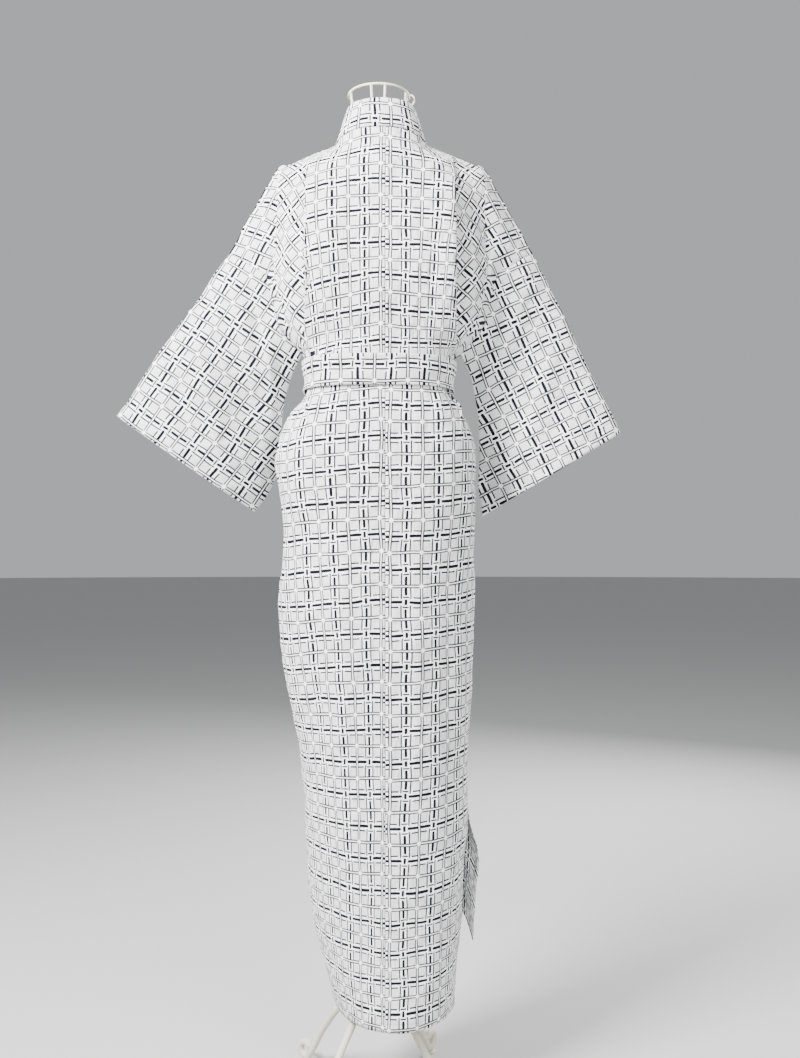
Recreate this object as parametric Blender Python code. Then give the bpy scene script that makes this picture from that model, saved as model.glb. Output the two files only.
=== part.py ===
"""A cotton yukata robe, tied with its own narrow belt, worn by a wire dress form stand.

Metres, +Z up. The robe's back faces +Y and its front -Y, and the wearer's left is +X.
The origin is on the floor, under the middle of the object's bounding box.

Each cloth piece is a sheet of points, thickened inwards into a wall. A body panel runs from the
back hem over the shoulder to the front hem, so its sheet joins three grids: the back above the
belt, the front above the belt, and the skirt. Guides are the lines of points that run down a
panel; their order, from the middle of the body outwards, is the order of the grid's columns.
"""

import math
from collections import namedtuple

import bmesh
import bpy
import numpy as np
from mathutils import Vector

# ---------------------------------------------------------------- driving dimensions (m)

WALL = 0.0015  # doubled cotton at a seam, and the plainest wall that still holds a shape
DOUBLED = 0.0020  # collar and belt, folded double
THICKEST_FOLD = 1.4  # how much thicker than elsewhere a wall may be where it folds
SEAM_GAP = 0.0004  # between pieces that lie in one surface
ARMHOLE_GAP = 0.0042
CORNER_GAP = 0.0027  # between pieces that meet at an angle, so that their walls stay apart
LAYER = 0.008  # from the outer front down to the front that it laps over
PROUD = 0.004  # how far the outer collar stands off just above the belt
CENTRE_X = -0.004  # the robe hangs a little to the wearer's right of the pole
BACK_SEAM_X = -0.012

BELT_TOP = 1.168
BELT_WIDTH = 0.047
BELT_CLEAR = 0.0025
KNOT_HALF = Vector((0.021, 0.0085, 0.027))
KNOT_SQUARENESS = 0.6
KNOT_GAP = 0.0035
KNOT_DROP = 0.026  # from the belt's top to the knot's middle
END_APART = 0.012
END_DROP = 0.030  # from the knot's middle to where the free ends start
END_LEAN = math.radians(19.9)
END_LAYER = 0.004
END_BOW = [(0.0, 0.0), (0.03, -0.004), (0.07, -0.006), (0.11, -0.003), (0.145, 0.0)]
END_HALF_TOP = 0.016
END_HALF = 0.022
END_FLARE = 0.05
COLLAR_WIDTH = 0.050
COLLAR_END = 1.030
HEM = 0.147

RING_STEPS = 720
ROW_STEP = 0.092  # the tallest quad of the skirt
REACH_UNDER = 0.85  # how far the under front crosses, against the outer one

# The skirt and the waist, as level rings: the outermost x on each side, the outermost y at the
# back and the front, and the exponent of the superellipse (2 is an ellipse, more is boxier).
SkirtRing = namedtuple("SkirtRing", "z left right back front power")
FRONT_POWER = 2.4
SKIRT = [
    SkirtRing(1.172, 0.1175, -0.1190, 0.098, -0.101, 2.8),
    SkirtRing(1.114, 0.1175, -0.1190, 0.096, -0.101, 2.8),
    SkirtRing(1.085, 0.1400, -0.1450, 0.099, -0.105, 2.6),
    SkirtRing(1.045, 0.1570, -0.1590, 0.104, -0.108, 2.5),
    SkirtRing(1.008, 0.1640, -0.1620, 0.106, -0.110, 2.4),
    SkirtRing(0.965, 0.1590, -0.1620, 0.106, -0.110, 2.3),
    SkirtRing(0.920, 0.1530, -0.1620, 0.105, -0.110, 2.2),
    SkirtRing(0.860, 0.1540, -0.1610, 0.103, -0.110, 2.1),
    SkirtRing(0.790, 0.1590, -0.1600, 0.101, -0.109, 2.1),
    SkirtRing(0.740, 0.1580, -0.1590, 0.100, -0.108, 2.1),
    SkirtRing(0.680, 0.1500, -0.1570, 0.099, -0.107, 2.1),
    SkirtRing(0.600, 0.1350, -0.1540, 0.098, -0.105, 2.0),
    SkirtRing(0.520, 0.1220, -0.1500, 0.098, -0.104, 2.0),
    SkirtRing(0.440, 0.1180, -0.1480, 0.098, -0.103, 2.0),
    SkirtRing(0.350, 0.1120, -0.1440, 0.099, -0.102, 2.0),
    SkirtRing(0.270, 0.1010, -0.1380, 0.102, -0.104, 1.9),
    SkirtRing(0.200, 0.0820, -0.1310, 0.108, -0.106, 1.9),
    SkirtRing(HEM, 0.0680, -0.1280, 0.115, -0.108, 1.8),
]

# How the panels share each ring, as distances and fractions round it: the side seam's distance
# from the centre back seam, then, as shares of half the ring past the centre front, the seam
# between front and okumi, and the okumi's free edge. Above COLLAR_END that edge is the collar's.
Wrap = namedtuple("Wrap", "z side okumi_seam okumi_edge")
WRAP = [
    Wrap(1.172, 0.185, 0.17, 0.25),
    Wrap(1.114, 0.187, 0.18, 0.28),
    Wrap(1.085, 0.200, 0.18, 0.31),
    Wrap(1.045, 0.222, 0.19, 0.34),
    Wrap(1.008, 0.240, 0.20, 0.42),
    Wrap(0.900, 0.262, 0.20, 0.42),
    Wrap(0.600, 0.262, 0.20, 0.41),
    Wrap(0.350, 0.235, 0.20, 0.43),
    Wrap(HEM, 0.215, 0.20, 0.46),
]
FLAP = 0.024  # how far the outer okumi's bottom corner stands off
FLAP_TOP = 0.42
DRAWN_UP_TOP = 0.70  # below this height the fronts are drawn up towards their free edge
DRAWN_UNDER = 0.35  # how much the under front is drawn up, against the outer one
# how far the hem is drawn up, from the side seam (0) round to the okumi's free edge (1)
DRAWN_UP = [(0.00, 0.000), (0.35, 0.020), (0.70, 0.090), (0.92, 0.130), (1.00, 0.096)]

# The back above the belt, as seven rows from the shoulder fold down. x is measured from CENTRE_X,
# towards the arm. inner is the panel's edge at the middle, pleat the edge of the flat middle
# part, which stands STEP above the cloth beyond it, valley the crease between body and arm, and
# arm the armhole seam.
BackRow = namedtuple(
    "BackRow",
    "inner_y inner_z pleat_x pleat_y pleat_z valley_x valley_y valley_z arm_x arm_y arm_z",
)
BACK = [
    BackRow(0.060, 1.526, 0.113, 0.002, 1.503, 0.166, 0.000, 1.480, 0.243, 0.000, 1.346),
    BackRow(0.076, 1.484, 0.113, 0.044, 1.475, 0.164, 0.030, 1.440, 0.223, 0.014, 1.333),
    BackRow(0.092, 1.430, 0.113, 0.075, 1.428, 0.165, 0.036, 1.385, 0.201, 0.022, 1.318),
    BackRow(0.102, 1.370, 0.113, 0.091, 1.370, 0.165, 0.038, 1.330, 0.180, 0.024, 1.303),
    BackRow(0.106, 1.305, 0.113, 0.096, 1.305, 0.160, 0.046, 1.275, 0.169, 0.022, 1.262),
    BackRow(0.104, 1.245, 0.113, 0.088, 1.247, 0.148, 0.050, 1.228, 0.160, 0.024, 1.222),
    BackRow(0.100, 1.195, 0.114, 0.072, 1.197, 0.125, 0.040, 1.190, 0.1255, 0.012, 1.184),
]

# The front above the belt, at the same seven rows: its inner edge, which is the neckline and then
# the seam to the okumi, the height of the row at the chest, the valley and the armhole seam.
# depth and width are the superellipse that the front lies on at that row.
FrontRow = namedtuple(
    "FrontRow", "inner_x inner_z depth width valley_x valley_z arm_x arm_y arm_z"
)
FRONT = [
    FrontRow(0.073, 1.516, 0.010, 0.190, 0.166, 1.480, 0.243, 0.000, 1.346),
    FrontRow(0.062, 1.474, 0.044, 0.190, 0.164, 1.440, 0.223, -0.014, 1.333),
    FrontRow(0.040, 1.420, 0.080, 0.178, 0.165, 1.385, 0.201, -0.022, 1.318),
    FrontRow(0.010, 1.362, 0.105, 0.172, 0.165, 1.330, 0.180, -0.024, 1.303),
    FrontRow(-0.026, 1.302, 0.114, 0.164, 0.160, 1.275, 0.169, -0.022, 1.262),
    FrontRow(-0.046, 1.245, 0.112, 0.153, 0.148, 1.228, 0.160, -0.020, 1.222),
    FrontRow(-0.060, 1.195, 0.106, 0.134, 0.112, 1.190, 0.1255, 0.012, 1.184),
]
CHEST_POWER = 2.5
NECKLINE = [(0.030, 0.057, 1.525), (0.058, 0.040, 1.521), (0.073, 0.010, 1.516)]
STEP = 0.010  # from the flat middle part down to the cloth beyond its edge
STEP_RUN = 0.004

# Guides across the skirt. belt is the place round the waist: at the back the distance from the
# centre back seam, at the front the share of the way from the side seam. inset is how far inside
# the ring the guide is pressed there, and free its share of the panel below the belt.
Guide = namedtuple("Guide", "belt inset free")
BACK_GUIDES = [
    Guide(0.000, 0.000, 0.00),
    Guide(0.026, 0.000, 0.10),
    Guide(0.052, 0.000, 0.20),
    Guide(0.080, 0.000, 0.31),
    Guide(0.110, 0.000, 0.43),
    Guide(0.136, 0.000, 0.54),
    Guide(0.142, 0.006, 0.63),
    Guide(0.153, 0.006, 0.72),
    Guide(0.164, 0.005, 0.80),
    Guide(0.175, 0.002, 0.90),
    Guide(0.185, 0.000, 1.00),
]
FRONT_GUIDES = [
    Guide(1.00, 0.000, 1.00),
    Guide(0.85, 0.000, 0.86),
    Guide(0.69, 0.000, 0.71),
    Guide(0.52, 0.000, 0.56),
    Guide(0.36, 0.000, 0.40),
    Guide(0.20, 0.000, 0.25),
    Guide(0.09, 0.000, 0.12),
    Guide(0.00, 0.000, 0.00),
]
FRONT_BETWEEN = 4  # guides of the front between its inner edge and the valley
RELEASE_TOP = 1.112
RELEASE_BOTTOM = 1.030

# The sleeve, from the armhole to the wrist: the distance along its top fold, the bottom fold,
# how far the back and front layers stand off the plane between the folds, and how much of the
# armhole's shape is left.
SleeveRow = namedtuple("SleeveRow", "along bottom_x bottom_y bottom_z back front armhole")
SLEEVES = {
    "left": [
        SleeveRow(0.000, 0.1255, 0.012, 1.184, 0.000, 0.000, 1.0),
        SleeveRow(0.040, 0.1430, -0.008, 1.158, 0.012, 0.012, 0.7),
        SleeveRow(0.100, 0.1600, -0.034, 1.110, 0.024, 0.022, 0.3),
        SleeveRow(0.170, 0.1680, -0.052, 1.040, 0.032, 0.024, 0.1),
        SleeveRow(0.240, 0.1760, -0.054, 0.985, 0.034, 0.022, 0.0),
        SleeveRow(0.315, 0.2090, -0.040, 0.934, 0.034, 0.022, 0.0),
    ],
    "right": [
        SleeveRow(0.000, 0.1255, 0.012, 1.184, 0.000, 0.000, 1.0),
        SleeveRow(0.040, 0.1420, -0.008, 1.158, 0.012, 0.012, 0.7),
        SleeveRow(0.100, 0.1560, -0.036, 1.110, 0.024, 0.022, 0.3),
        SleeveRow(0.170, 0.1620, -0.056, 1.040, 0.032, 0.024, 0.1),
        SleeveRow(0.240, 0.1600, -0.062, 0.980, 0.034, 0.022, 0.0),
        SleeveRow(0.315, 0.1680, -0.064, 0.928, 0.034, 0.022, 0.0),
    ],
}
WRIST_TOP = {"left": (0.424, 0.000, 1.086), "right": (0.382, 0.000, 1.058)}

# The collar band, from the centre back to where it meets the ring of the waist: its seam and
# its free edge. x is measured from CENTRE_X towards the wearer's left. Where y is None, the band
# lies on the front.
CollarRow = namedtuple("CollarRow", "seam_x seam_y seam_z edge_x edge_y edge_z")
COLLAR = [
    CollarRow(0.000, 0.060, 1.526, 0.000, 0.054, 1.574),
    CollarRow(0.030, 0.057, 1.525, 0.026, 0.050, 1.573),
    CollarRow(0.058, 0.040, 1.521, 0.048, 0.034, 1.571),
    CollarRow(0.073, 0.010, 1.516, 0.057, 0.004, 1.563),
    CollarRow(0.070, -0.018, 1.496, 0.050, -0.026, 1.540),
    CollarRow(0.062, -0.042, 1.474, 0.030, -0.056, 1.508),
    CollarRow(0.052, -0.062, 1.447, 0.014, -0.075, 1.476),
    CollarRow(0.040, None, 1.420, -0.001, -0.088, 1.446),
    CollarRow(0.010, None, 1.362, -0.034, None, 1.386),
    CollarRow(-0.026, None, 1.302, -0.068, None, 1.327),
    CollarRow(-0.058, None, 1.245, -0.090, None, 1.264),
    CollarRow(-0.077, None, 1.193, -0.106, None, 1.198),
]
# The okumi's outer edge above the belt, which is the collar's seam.
OKUMI_TOP = [(-0.050, 1.260), (-0.058, 1.245), (-0.077, 1.193)]

# The wire form inside, as rings of its ribs: height, half width and half depth.
FormRing = namedtuple("FormRing", "z half_x half_y")
FORM = [
    FormRing(1.5945, 0.0480, 0.0480),
    FormRing(1.5600, 0.0420, 0.0400),
    FormRing(1.5200, 0.0420, 0.0330),
    FormRing(1.4850, 0.0640, 0.0340),
    FormRing(1.4500, 0.0980, 0.0440),
    FormRing(1.3900, 0.1080, 0.0640),
    FormRing(1.3100, 0.1020, 0.0720),
    FormRing(1.2300, 0.0860, 0.0620),
    FormRing(1.1500, 0.0800, 0.0600),
    FormRing(1.0600, 0.1100, 0.0720),
    FormRing(0.9800, 0.1240, 0.0780),
    FormRing(0.9000, 0.1240, 0.0780),
]
FIRST_RIB = math.radians(13)  # from straight behind
SIDE_RIB = math.radians(66)
WIRE = 0.0020  # radius of the wire of the ribs, hoops and neck ring
HOOPS = {"hoop_chest": 1.39, "hoop_waist": 1.15, "hoop_hip": 0.91}
NECK_RING_Z = 1.598
HOOK_WIRE = 0.0013
# the hook's middle line, outwards from the neck ring and up from it
HOOK = [
    (0.0040, 0.0022),
    (0.0052, 0.0024),
    (0.0068, 0.0010),
    (0.0084, -0.0016),
    (0.0088, -0.0052),
    (0.0082, -0.0092),
    (0.0060, -0.0128),
]
POLE_RADIUS = 0.011
POLE_TOP = 1.34
HUB_Z = 0.400
HUB_RADIUS = 0.024
HUB_HEIGHT = 0.060
SPOKE_Z = 0.95
SPOKE_REACH = 0.070
STAND_GAP = 0.0003  # between the parts of the stand that are joined
LEG_RADIUS = 0.0058
PAD_RADIUS = 0.009
PAD_HEIGHT = 0.0025

# A leg's middle line, as distance from the pole and height; the scroll follows it.
LEG = [
    (0.0304, 0.395),
    (0.0360, 0.350),
    (0.0400, 0.290),
    (0.0440, 0.230),
    (0.0500, 0.180),
    (0.0640, 0.142),
    (0.0980, 0.104),
    (0.1270, 0.066),
    (0.1450, 0.036),
]
SCROLL_CENTRE = (0.1680, 0.0206)
SCROLL_RADIUS = 0.0118
LEG_ANGLES = [math.radians(a) for a in (35, 131, 211, 315)]

COTTON = ((0.86, 0.86, 0.84), 0.9, 0.0)
ENAMEL = ((0.76, 0.73, 0.62), 0.5, 0.0)


# ---------------------------------------------------------------- materials and solids


def material(name, colour, roughness, metallic):
    made = bpy.data.materials.new(name)
    made.use_nodes = True
    shader = made.node_tree.nodes["Principled BSDF"]
    shader.inputs["Base Color"].default_value = (*colour, 1.0)
    shader.inputs["Roughness"].default_value = roughness
    shader.inputs["Metallic"].default_value = metallic
    made.diffuse_color = (*colour, 1.0)
    return made


def add_object(name, data, look):
    made = bpy.data.objects.new(name, data)
    made.data.materials.append(look)
    bpy.context.scene.collection.objects.link(made)
    return made


class Sheet:
    """A surface of quads whose grids share the points that they have in common."""

    def __init__(self):
        self.points = []
        self.quads = []
        self.known = {}

    def point(self, place):
        key = tuple(round(c, 6) for c in place)
        if key not in self.known:
            self.known[key] = len(self.points)
            self.points.append(np.array(place, float))
        return self.known[key]

    def grid(self, rows, facing_out=True):
        """Adds a grid, rows top to bottom. facing_out says which way its columns run."""
        ids = [[self.point(p) for p in row] for row in rows]
        for upper, lower in zip(ids, ids[1:]):
            for k in range(len(upper) - 1):
                quad = [upper[k], lower[k], lower[k + 1], upper[k + 1]]
                corners = list(dict.fromkeys(quad))
                if len(corners) > 2:
                    self.quads.append(corners if facing_out else corners[::-1])


def halves(sheet, quad):
    """The quad as two triangles, along its shorter diagonal."""
    if len(quad) == 3:
        return [quad]
    a, b, c, d = quad
    across = np.linalg.norm(sheet.points[a] - sheet.points[c])
    other = np.linalg.norm(sheet.points[b] - sheet.points[d])
    if across <= other:
        return [[a, b, c], [a, c, d]]
    return [[a, b, d], [b, c, d]]


def wall(name, sheet, thickness, look):
    """The sheet as a closed wall: the outer face is the sheet, the inner one is thickness behind."""
    mesh = bmesh.new()
    triangles = [half for quad in sheet.quads for half in halves(sheet, quad)]
    outer = [mesh.verts.new(p) for p in sheet.points]
    for triangle in triangles:
        mesh.faces.new([outer[k] for k in triangle])
    mesh.normal_update()
    mesh.verts.index_update()
    rims = [e.link_loops[0] for e in mesh.edges if e.is_boundary]
    rim_ends = [(loop.vert.index, loop.link_loop_next.vert.index) for loop in rims]
    depths = [thickness * min(v.calc_shell_factor(), THICKEST_FOLD) for v in outer]
    inner = [mesh.verts.new(v.co - v.normal * depth) for v, depth in zip(outer, depths)]
    for triangle in triangles:
        mesh.faces.new([inner[k] for k in reversed(triangle)])
    for start, end in rim_ends:
        mesh.faces.new([outer[end], outer[start], inner[start]])
        mesh.faces.new([outer[end], inner[start], inner[end]])
    mesh.normal_update()
    data = bpy.data.meshes.new(name)
    mesh.to_mesh(data)
    mesh.free()
    data.shade_smooth()
    return add_object(name, data, look)


def rod(name, points, radius, look, closed=False, rounding=2):
    """A bent rod through points, round in section, with flat ends."""
    curve = bpy.data.curves.new(name, "CURVE")
    curve.dimensions = "3D"
    curve.bevel_depth = radius
    curve.bevel_resolution = rounding
    curve.use_fill_caps = not closed
    spline = curve.splines.new("POLY")
    spline.points.add(len(points) - 1)
    for knot, place in zip(spline.points, points):
        knot.co = (*place, 1.0)
    spline.use_cyclic_u = closed
    return add_object(name, curve, look)


def cylinder(name, centre, radius, height, look, sides=24):
    mesh = bmesh.new()
    bmesh.ops.create_cone(
        mesh, cap_ends=True, segments=sides, radius1=radius, radius2=radius, depth=height
    )
    data = bpy.data.meshes.new(name)
    mesh.to_mesh(data)
    mesh.free()
    made = add_object(name, data, look)
    made.location = centre
    return made


# ---------------------------------------------------------------- smooth lines


def spline_at(points, place):
    """A point of the Catmull-Rom curve through points. place counts in points."""
    last = len(points) - 1
    k = min(int(place), last - 1)
    t = place - k
    before = points[max(k - 1, 0)]
    start = points[k]
    end = points[k + 1]
    after = points[min(k + 2, last)]
    return 0.5 * (
        2 * start
        + (end - before) * t
        + (2 * before - 5 * start + 4 * end - after) * t**2
        + (3 * start - before - 3 * end + after) * t**3
    )


def spline(points, steps):
    """The curve through points, with steps pieces between each two."""
    points = [np.array(p, float) for p in points]
    count = (len(points) - 1) * steps
    return [spline_at(points, k / steps) for k in range(count + 1)]


def even(points, count):
    """Points spread evenly along the curve through points, leaving out its two ends."""
    fine = np.array(spline(points, 8))
    along = np.concatenate([[0], np.cumsum(np.linalg.norm(np.diff(fine, axis=0), axis=1))])
    places = np.linspace(0, along[-1], count + 2)[1:-1]
    return [np.array([np.interp(p, along, axis) for axis in fine.T]) for p in places]


def table_at(table, z, key="z"):
    """A table's row at height z, read from a table whose rows run downwards by key."""
    heights = [-getattr(row, key) for row in table]
    return type(table[0])(
        *(float(np.interp(-z, heights, column)) for column in zip(*table))
    )


# ---------------------------------------------------------------- rings of the waist and skirt


class Ring:
    """A level section of the robe, walked from the centre back seam towards either side."""

    def __init__(self, z):
        shape = table_at(SKIRT, z)
        turn = np.linspace(0, 2 * math.pi, RING_STEPS + 1)
        half_x = (shape.left - shape.right) / 2
        middle = (shape.left + shape.right) / 2
        sine = np.sin(turn)
        cosine = np.cos(turn)
        power = np.where(cosine > 0, shape.power, FRONT_POWER)
        depth = np.where(cosine > 0, shape.back, -shape.front)
        self.x = middle + half_x * np.sign(sine) * np.abs(sine) ** (2 / power)
        self.y = depth * np.sign(cosine) * np.abs(cosine) ** (2 / power)
        steps = np.hypot(np.diff(self.x), np.diff(self.y))
        self.along = np.concatenate([[0], np.cumsum(steps)])
        self.length = self.along[-1]
        self.half = self.length / 2
        quarter = RING_STEPS // 4
        back = np.r_[self.x[-quarter:-1], self.x[:quarter]]
        back_along = np.r_[self.along[-quarter:-1] - self.length, self.along[:quarter]]
        self.seam = float(np.interp(BACK_SEAM_X, back, back_along))
        self.z = z

    def at(self, side, distance, out=0.0):
        """The point at a distance round from the centre back seam, moved outwards by out."""
        place = (self.seam + side * distance) % self.length
        here = self.read(place)
        step = self.read((place + 0.002) % self.length) - self.read((place - 0.002) % self.length)
        step /= np.hypot(*step)
        outward = np.array([-step[1], step[0]])
        return np.array([*(here + outward * out), self.z])

    def read(self, place):
        return np.array(
            [np.interp(place, self.along, self.x), np.interp(place, self.along, self.y)]
        )


def smooth(t):
    t = min(max(t, 0.0), 1.0)
    return t * t * (3 - 2 * t)


def inset_of(side, share):
    """The under panel lies LAYER inside the ring once it is past the back."""
    return 0.0 if side > 0 else -LAYER * smooth((share - 0.22) / 0.22)


def drawn_up(side, ring, distance, place):
    """A point of a front, drawn up with the front's hem."""
    reach = 1.0 if side > 0 else REACH_UNDER
    wrap = table_at(WRAP, ring.z)
    edge = ring.half * (1 + wrap.okumi_edge * reach)
    share = max((distance - wrap.side) / (edge - wrap.side), 0.0)
    rise = float(np.interp(share, *zip(*DRAWN_UP))) * (1.0 if side > 0 else DRAWN_UNDER)
    return place + [0, 0, rise * smooth((DRAWN_UP_TOP - ring.z) / (DRAWN_UP_TOP - HEM))]


def skirt_heights(step):
    """The rings' heights, each gap cut into pieces no longer than step."""
    heights = [SKIRT[0].z]
    for upper, lower in zip(SKIRT, SKIRT[1:]):
        pieces = max(1, math.ceil((upper.z - lower.z) / step - 1e-6))
        heights += list(np.linspace(upper.z, lower.z, pieces + 1)[1:])
    return heights


def skirt_columns(side, ring, guides, front):
    """The points of one row of the skirt, at its guides."""
    wrap = table_at(WRAP, ring.z)
    free = smooth((RELEASE_TOP - ring.z) / (RELEASE_TOP - RELEASE_BOTTOM))
    reach = 1.0 if side > 0 else REACH_UNDER
    okumi_seam = ring.half * (1 + wrap.okumi_seam * reach)
    row = []
    for guide in guides:
        if front:
            tied = wrap.side + (okumi_seam - wrap.side) * guide.belt
            loose = wrap.side + (okumi_seam - wrap.side) * guide.free
        else:
            tied = guide.belt
            loose = wrap.side * guide.free
        distance = tied + (loose - tied) * free
        out = -guide.inset * (1 - free) + inset_of(side, distance / ring.half)
        place = ring.at(side, distance, out)
        row.append(drawn_up(side, ring, distance, place) if front else place)
    return row


# ---------------------------------------------------------------- the bodice


def towards(side, x, y, z):
    return np.array([CENTRE_X + side * x, y, z])


def between(a, b, share, back_by=0.0):
    """A point between two, pushed away from the form by back_by in y."""
    return a + (b - a) * share + np.array([0.0, back_by, 0.0])


def shoulder_fold(side):
    """The points that back and front share, from the side of the neck to the armhole."""
    row = BACK[0]
    neck = towards(side, *NECKLINE[-1])
    pleat = towards(side, row.pleat_x, row.pleat_y, row.pleat_z)
    valley = towards(side, row.valley_x, row.valley_y, row.valley_z)
    arm = towards(side, row.arm_x, row.arm_y, row.arm_z)
    shares = [between(pleat, valley, share) for share in (0.30, 0.65)]
    return [neck, between(neck, pleat, 0.5), pleat, *shares, valley, between(valley, arm, 0.5), arm]


def back_row(side, number):
    """One row of the back above the belt, at the same guides as the skirt's."""
    row = BACK[number]
    inner = np.array([BACK_SEAM_X + side * SEAM_GAP / 2, row.inner_y, row.inner_z])
    if number == 0:
        return [inner, *(towards(side, *p) for p in NECKLINE[:-1]), *shoulder_fold(side)]
    bulge = min(number, 3) / 3
    depth = STEP * min(number, 2) / 2
    pleat = towards(side, row.pleat_x, row.pleat_y, row.pleat_z)
    valley = towards(side, row.valley_x, row.valley_y, row.valley_z)
    arm = towards(side, row.arm_x, row.arm_y, row.arm_z)
    turn = 0.7 * (row.inner_y - row.pleat_y)
    middle = [between(inner, pleat, t, turn * (t - t * t)) for t in (0.22, 0.43, 0.64, 0.83)]
    under = pleat + np.array([side * STEP_RUN, -depth, 0.0])
    drape = between(under, valley, 0.55, 0.006 * bulge)
    outer = between(valley, arm, 0.5, 0.008 * bulge)
    return [inner, *middle, pleat, under, drape, valley, outer, arm]


def on_front(side, x, z, sunk=0.0):
    """The point of the front at x and z, sunk that far inside the outer layer."""
    heights = [-row.inner_z for row in FRONT] + [-SKIRT[0].z]
    depth = np.interp(-z, heights, [row.depth for row in FRONT] + [-SKIRT[0].front])
    width = np.interp(-z, heights, [row.width for row in FRONT] + [SKIRT[0].left])
    share = max(1 - (abs(x) / width) ** CHEST_POWER, 0.0) ** (1 / CHEST_POWER)
    return towards(side, x, sunk - depth * share, z)


def front_row(side, number):
    """One row of the front above the belt, from its inner edge out to the armhole."""
    if number == 0:
        return shoulder_fold(side)
    row = FRONT[number]
    reach = REACH_UNDER if side < 0 and row.inner_x < 0 else 1.0
    sunk = LAYER * min(number, 2) / 2 if side < 0 else 0.0
    rise = 1.0 if number < len(FRONT) - 1 else 0.0
    arm = towards(side, row.arm_x, row.arm_y, row.arm_z)
    path = []
    for share in np.linspace(0, 1, 9):
        x = row.inner_x * reach + (row.valley_x - row.inner_x * reach) * share
        z = row.inner_z + (row.valley_z - row.inner_z) * share**2
        path.append(on_front(side, x, z, sunk * (1 - rise * share**8)))
    line = even(path, FRONT_BETWEEN)
    outer = between(path[-1], arm, 0.5, -0.004)
    return [path[0], *line, path[-1], outer, arm]


def body_panel(name, side, look):
    sheet = Sheet()
    back = [back_row(side, k) for k in range(len(BACK))]
    front = [front_row(side, k) for k in range(len(FRONT))]
    for z in skirt_heights(ROW_STEP):
        ring = Ring(z)
        row = skirt_columns(side, ring, BACK_GUIDES, False)
        row[0][0] += side * SEAM_GAP / 2
        back.append(row)
        front.append(skirt_columns(side, ring, FRONT_GUIDES, True))
    sheet.grid(back, facing_out=side > 0)
    sheet.grid(front, facing_out=side < 0)
    return wall(name, sheet, WALL, look)


def okumi_edges(side, z):
    """Where the okumi starts and ends round the ring at z, and how far its edge stands off."""
    ring = Ring(z)
    wrap = table_at(WRAP, z)
    reach = 1.0 if side > 0 else REACH_UNDER
    start = ring.half * (1 + wrap.okumi_seam * reach)
    end = ring.half * (1 + wrap.okumi_edge * reach)
    return ring, start, end


def okumi(name, side, look, columns=4):
    rows = []
    sunk = LAYER if side < 0 else 0.0
    reach = REACH_UNDER if side < 0 else 1.0
    for edge_x, z in OKUMI_TOP:
        start = table_at(FRONT, z, "inner_z").inner_x * reach - CORNER_GAP
        end = edge_x * reach + CORNER_GAP
        shares = [k / columns for k in range(columns + 1)]
        rows.append([on_front(side, start + (end - start) * t, z, sunk) for t in shares])
    for z in skirt_heights(ROW_STEP):
        ring, start, end = okumi_edges(side, z)
        row = []
        for k in range(columns + 1):
            distance = start + CORNER_GAP + (end - start - 2 * CORNER_GAP) * k / columns
            stand_off = FLAP * smooth((FLAP_TOP - z) / 0.15) * (k / columns) ** 2
            out = inset_of(side, 1.0) + (stand_off if side > 0 else 0.0)
            row.append(drawn_up(side, ring, distance, ring.at(side, distance, out)))
        rows.append(row)
    sheet = Sheet()
    sheet.grid(rows, facing_out=side < 0)
    return wall(name, sheet, WALL, look)


def sleeve(name, side, which, look):
    sheet = Sheet()
    back = [towards(side, r.arm_x, r.arm_y, r.arm_z) for r in BACK]
    front = [towards(side, r.arm_x, r.arm_y, r.arm_z) for r in FRONT]
    top_start = back[0]
    top_end = towards(side, *WRIST_TOP[which])
    table = SLEEVES[which]
    length = table[-1].along
    last = len(BACK) - 1
    loops = []
    for row in table:
        top = top_start + (top_end - top_start) * row.along / length
        bottom = towards(side, row.bottom_x, row.bottom_y, row.bottom_z)
        loop = []
        for layer, facing, bulge in ((back, 1, row.back), (front, -1, row.front)):
            line = []
            for k in range(last + 1):
                t = k / last
                chord = between(top, bottom, t)
                seam = layer[k] - between(layer[0], layer[last], t)
                puff = bulge * math.sin(math.pi * t) ** 0.8 * facing
                line.append(chord + seam * row.armhole + np.array([0.0, puff, 0.0]))
            loop.append(line)
        loops.append(loop[0] + loop[1][-2:0:-1] + [loop[0][0]])
    for k, (start, after) in enumerate(zip(loops[0], loops[1])):
        loops[0][k] = start + (after - start) / np.linalg.norm(after - start) * ARMHOLE_GAP
    sheet.grid(loops, facing_out=side < 0)
    return wall(name, sheet, WALL, look)


# ---------------------------------------------------------------- collar and belt


def collar_point(side, x, y, z, sunk):
    if y is None:
        return on_front(side, x, z, sunk)
    return towards(side, x, y + sunk, z)


def collar_side(side):
    """The collar from the centre back to its end, as rows of points from seam to free edge."""
    rows = []
    for number, row in enumerate(COLLAR):
        under = side < 0
        if under:
            sunk = LAYER * smooth((number - 4) / 3)
        else:
            sunk = -PROUD * smooth((number - 8) / 2)
        seam_x = row.seam_x * (REACH_UNDER if under and row.seam_x < 0 else 1.0)
        edge_x = row.edge_x * (REACH_UNDER if under and row.edge_x < 0 else 1.0)
        seam = collar_point(side, seam_x, row.seam_y, row.seam_z, sunk)
        edge = collar_point(side, edge_x, row.edge_y, row.edge_z, sunk)
        lift = (edge - seam) / np.linalg.norm(edge - seam) * CORNER_GAP * 1.2
        rows.append([seam + lift, between(seam, edge, 0.5), edge])
    for z in skirt_heights(ROW_STEP / 2):
        if z < COLLAR_END:
            break
        ring, _, end = okumi_edges(side, z)
        out = inset_of(side, 1.0)
        distances = [end + CORNER_GAP, end + COLLAR_WIDTH / 2, end + COLLAR_WIDTH]
        rows.append([ring.at(side, distance, out) for distance in distances])
    return rows


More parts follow.
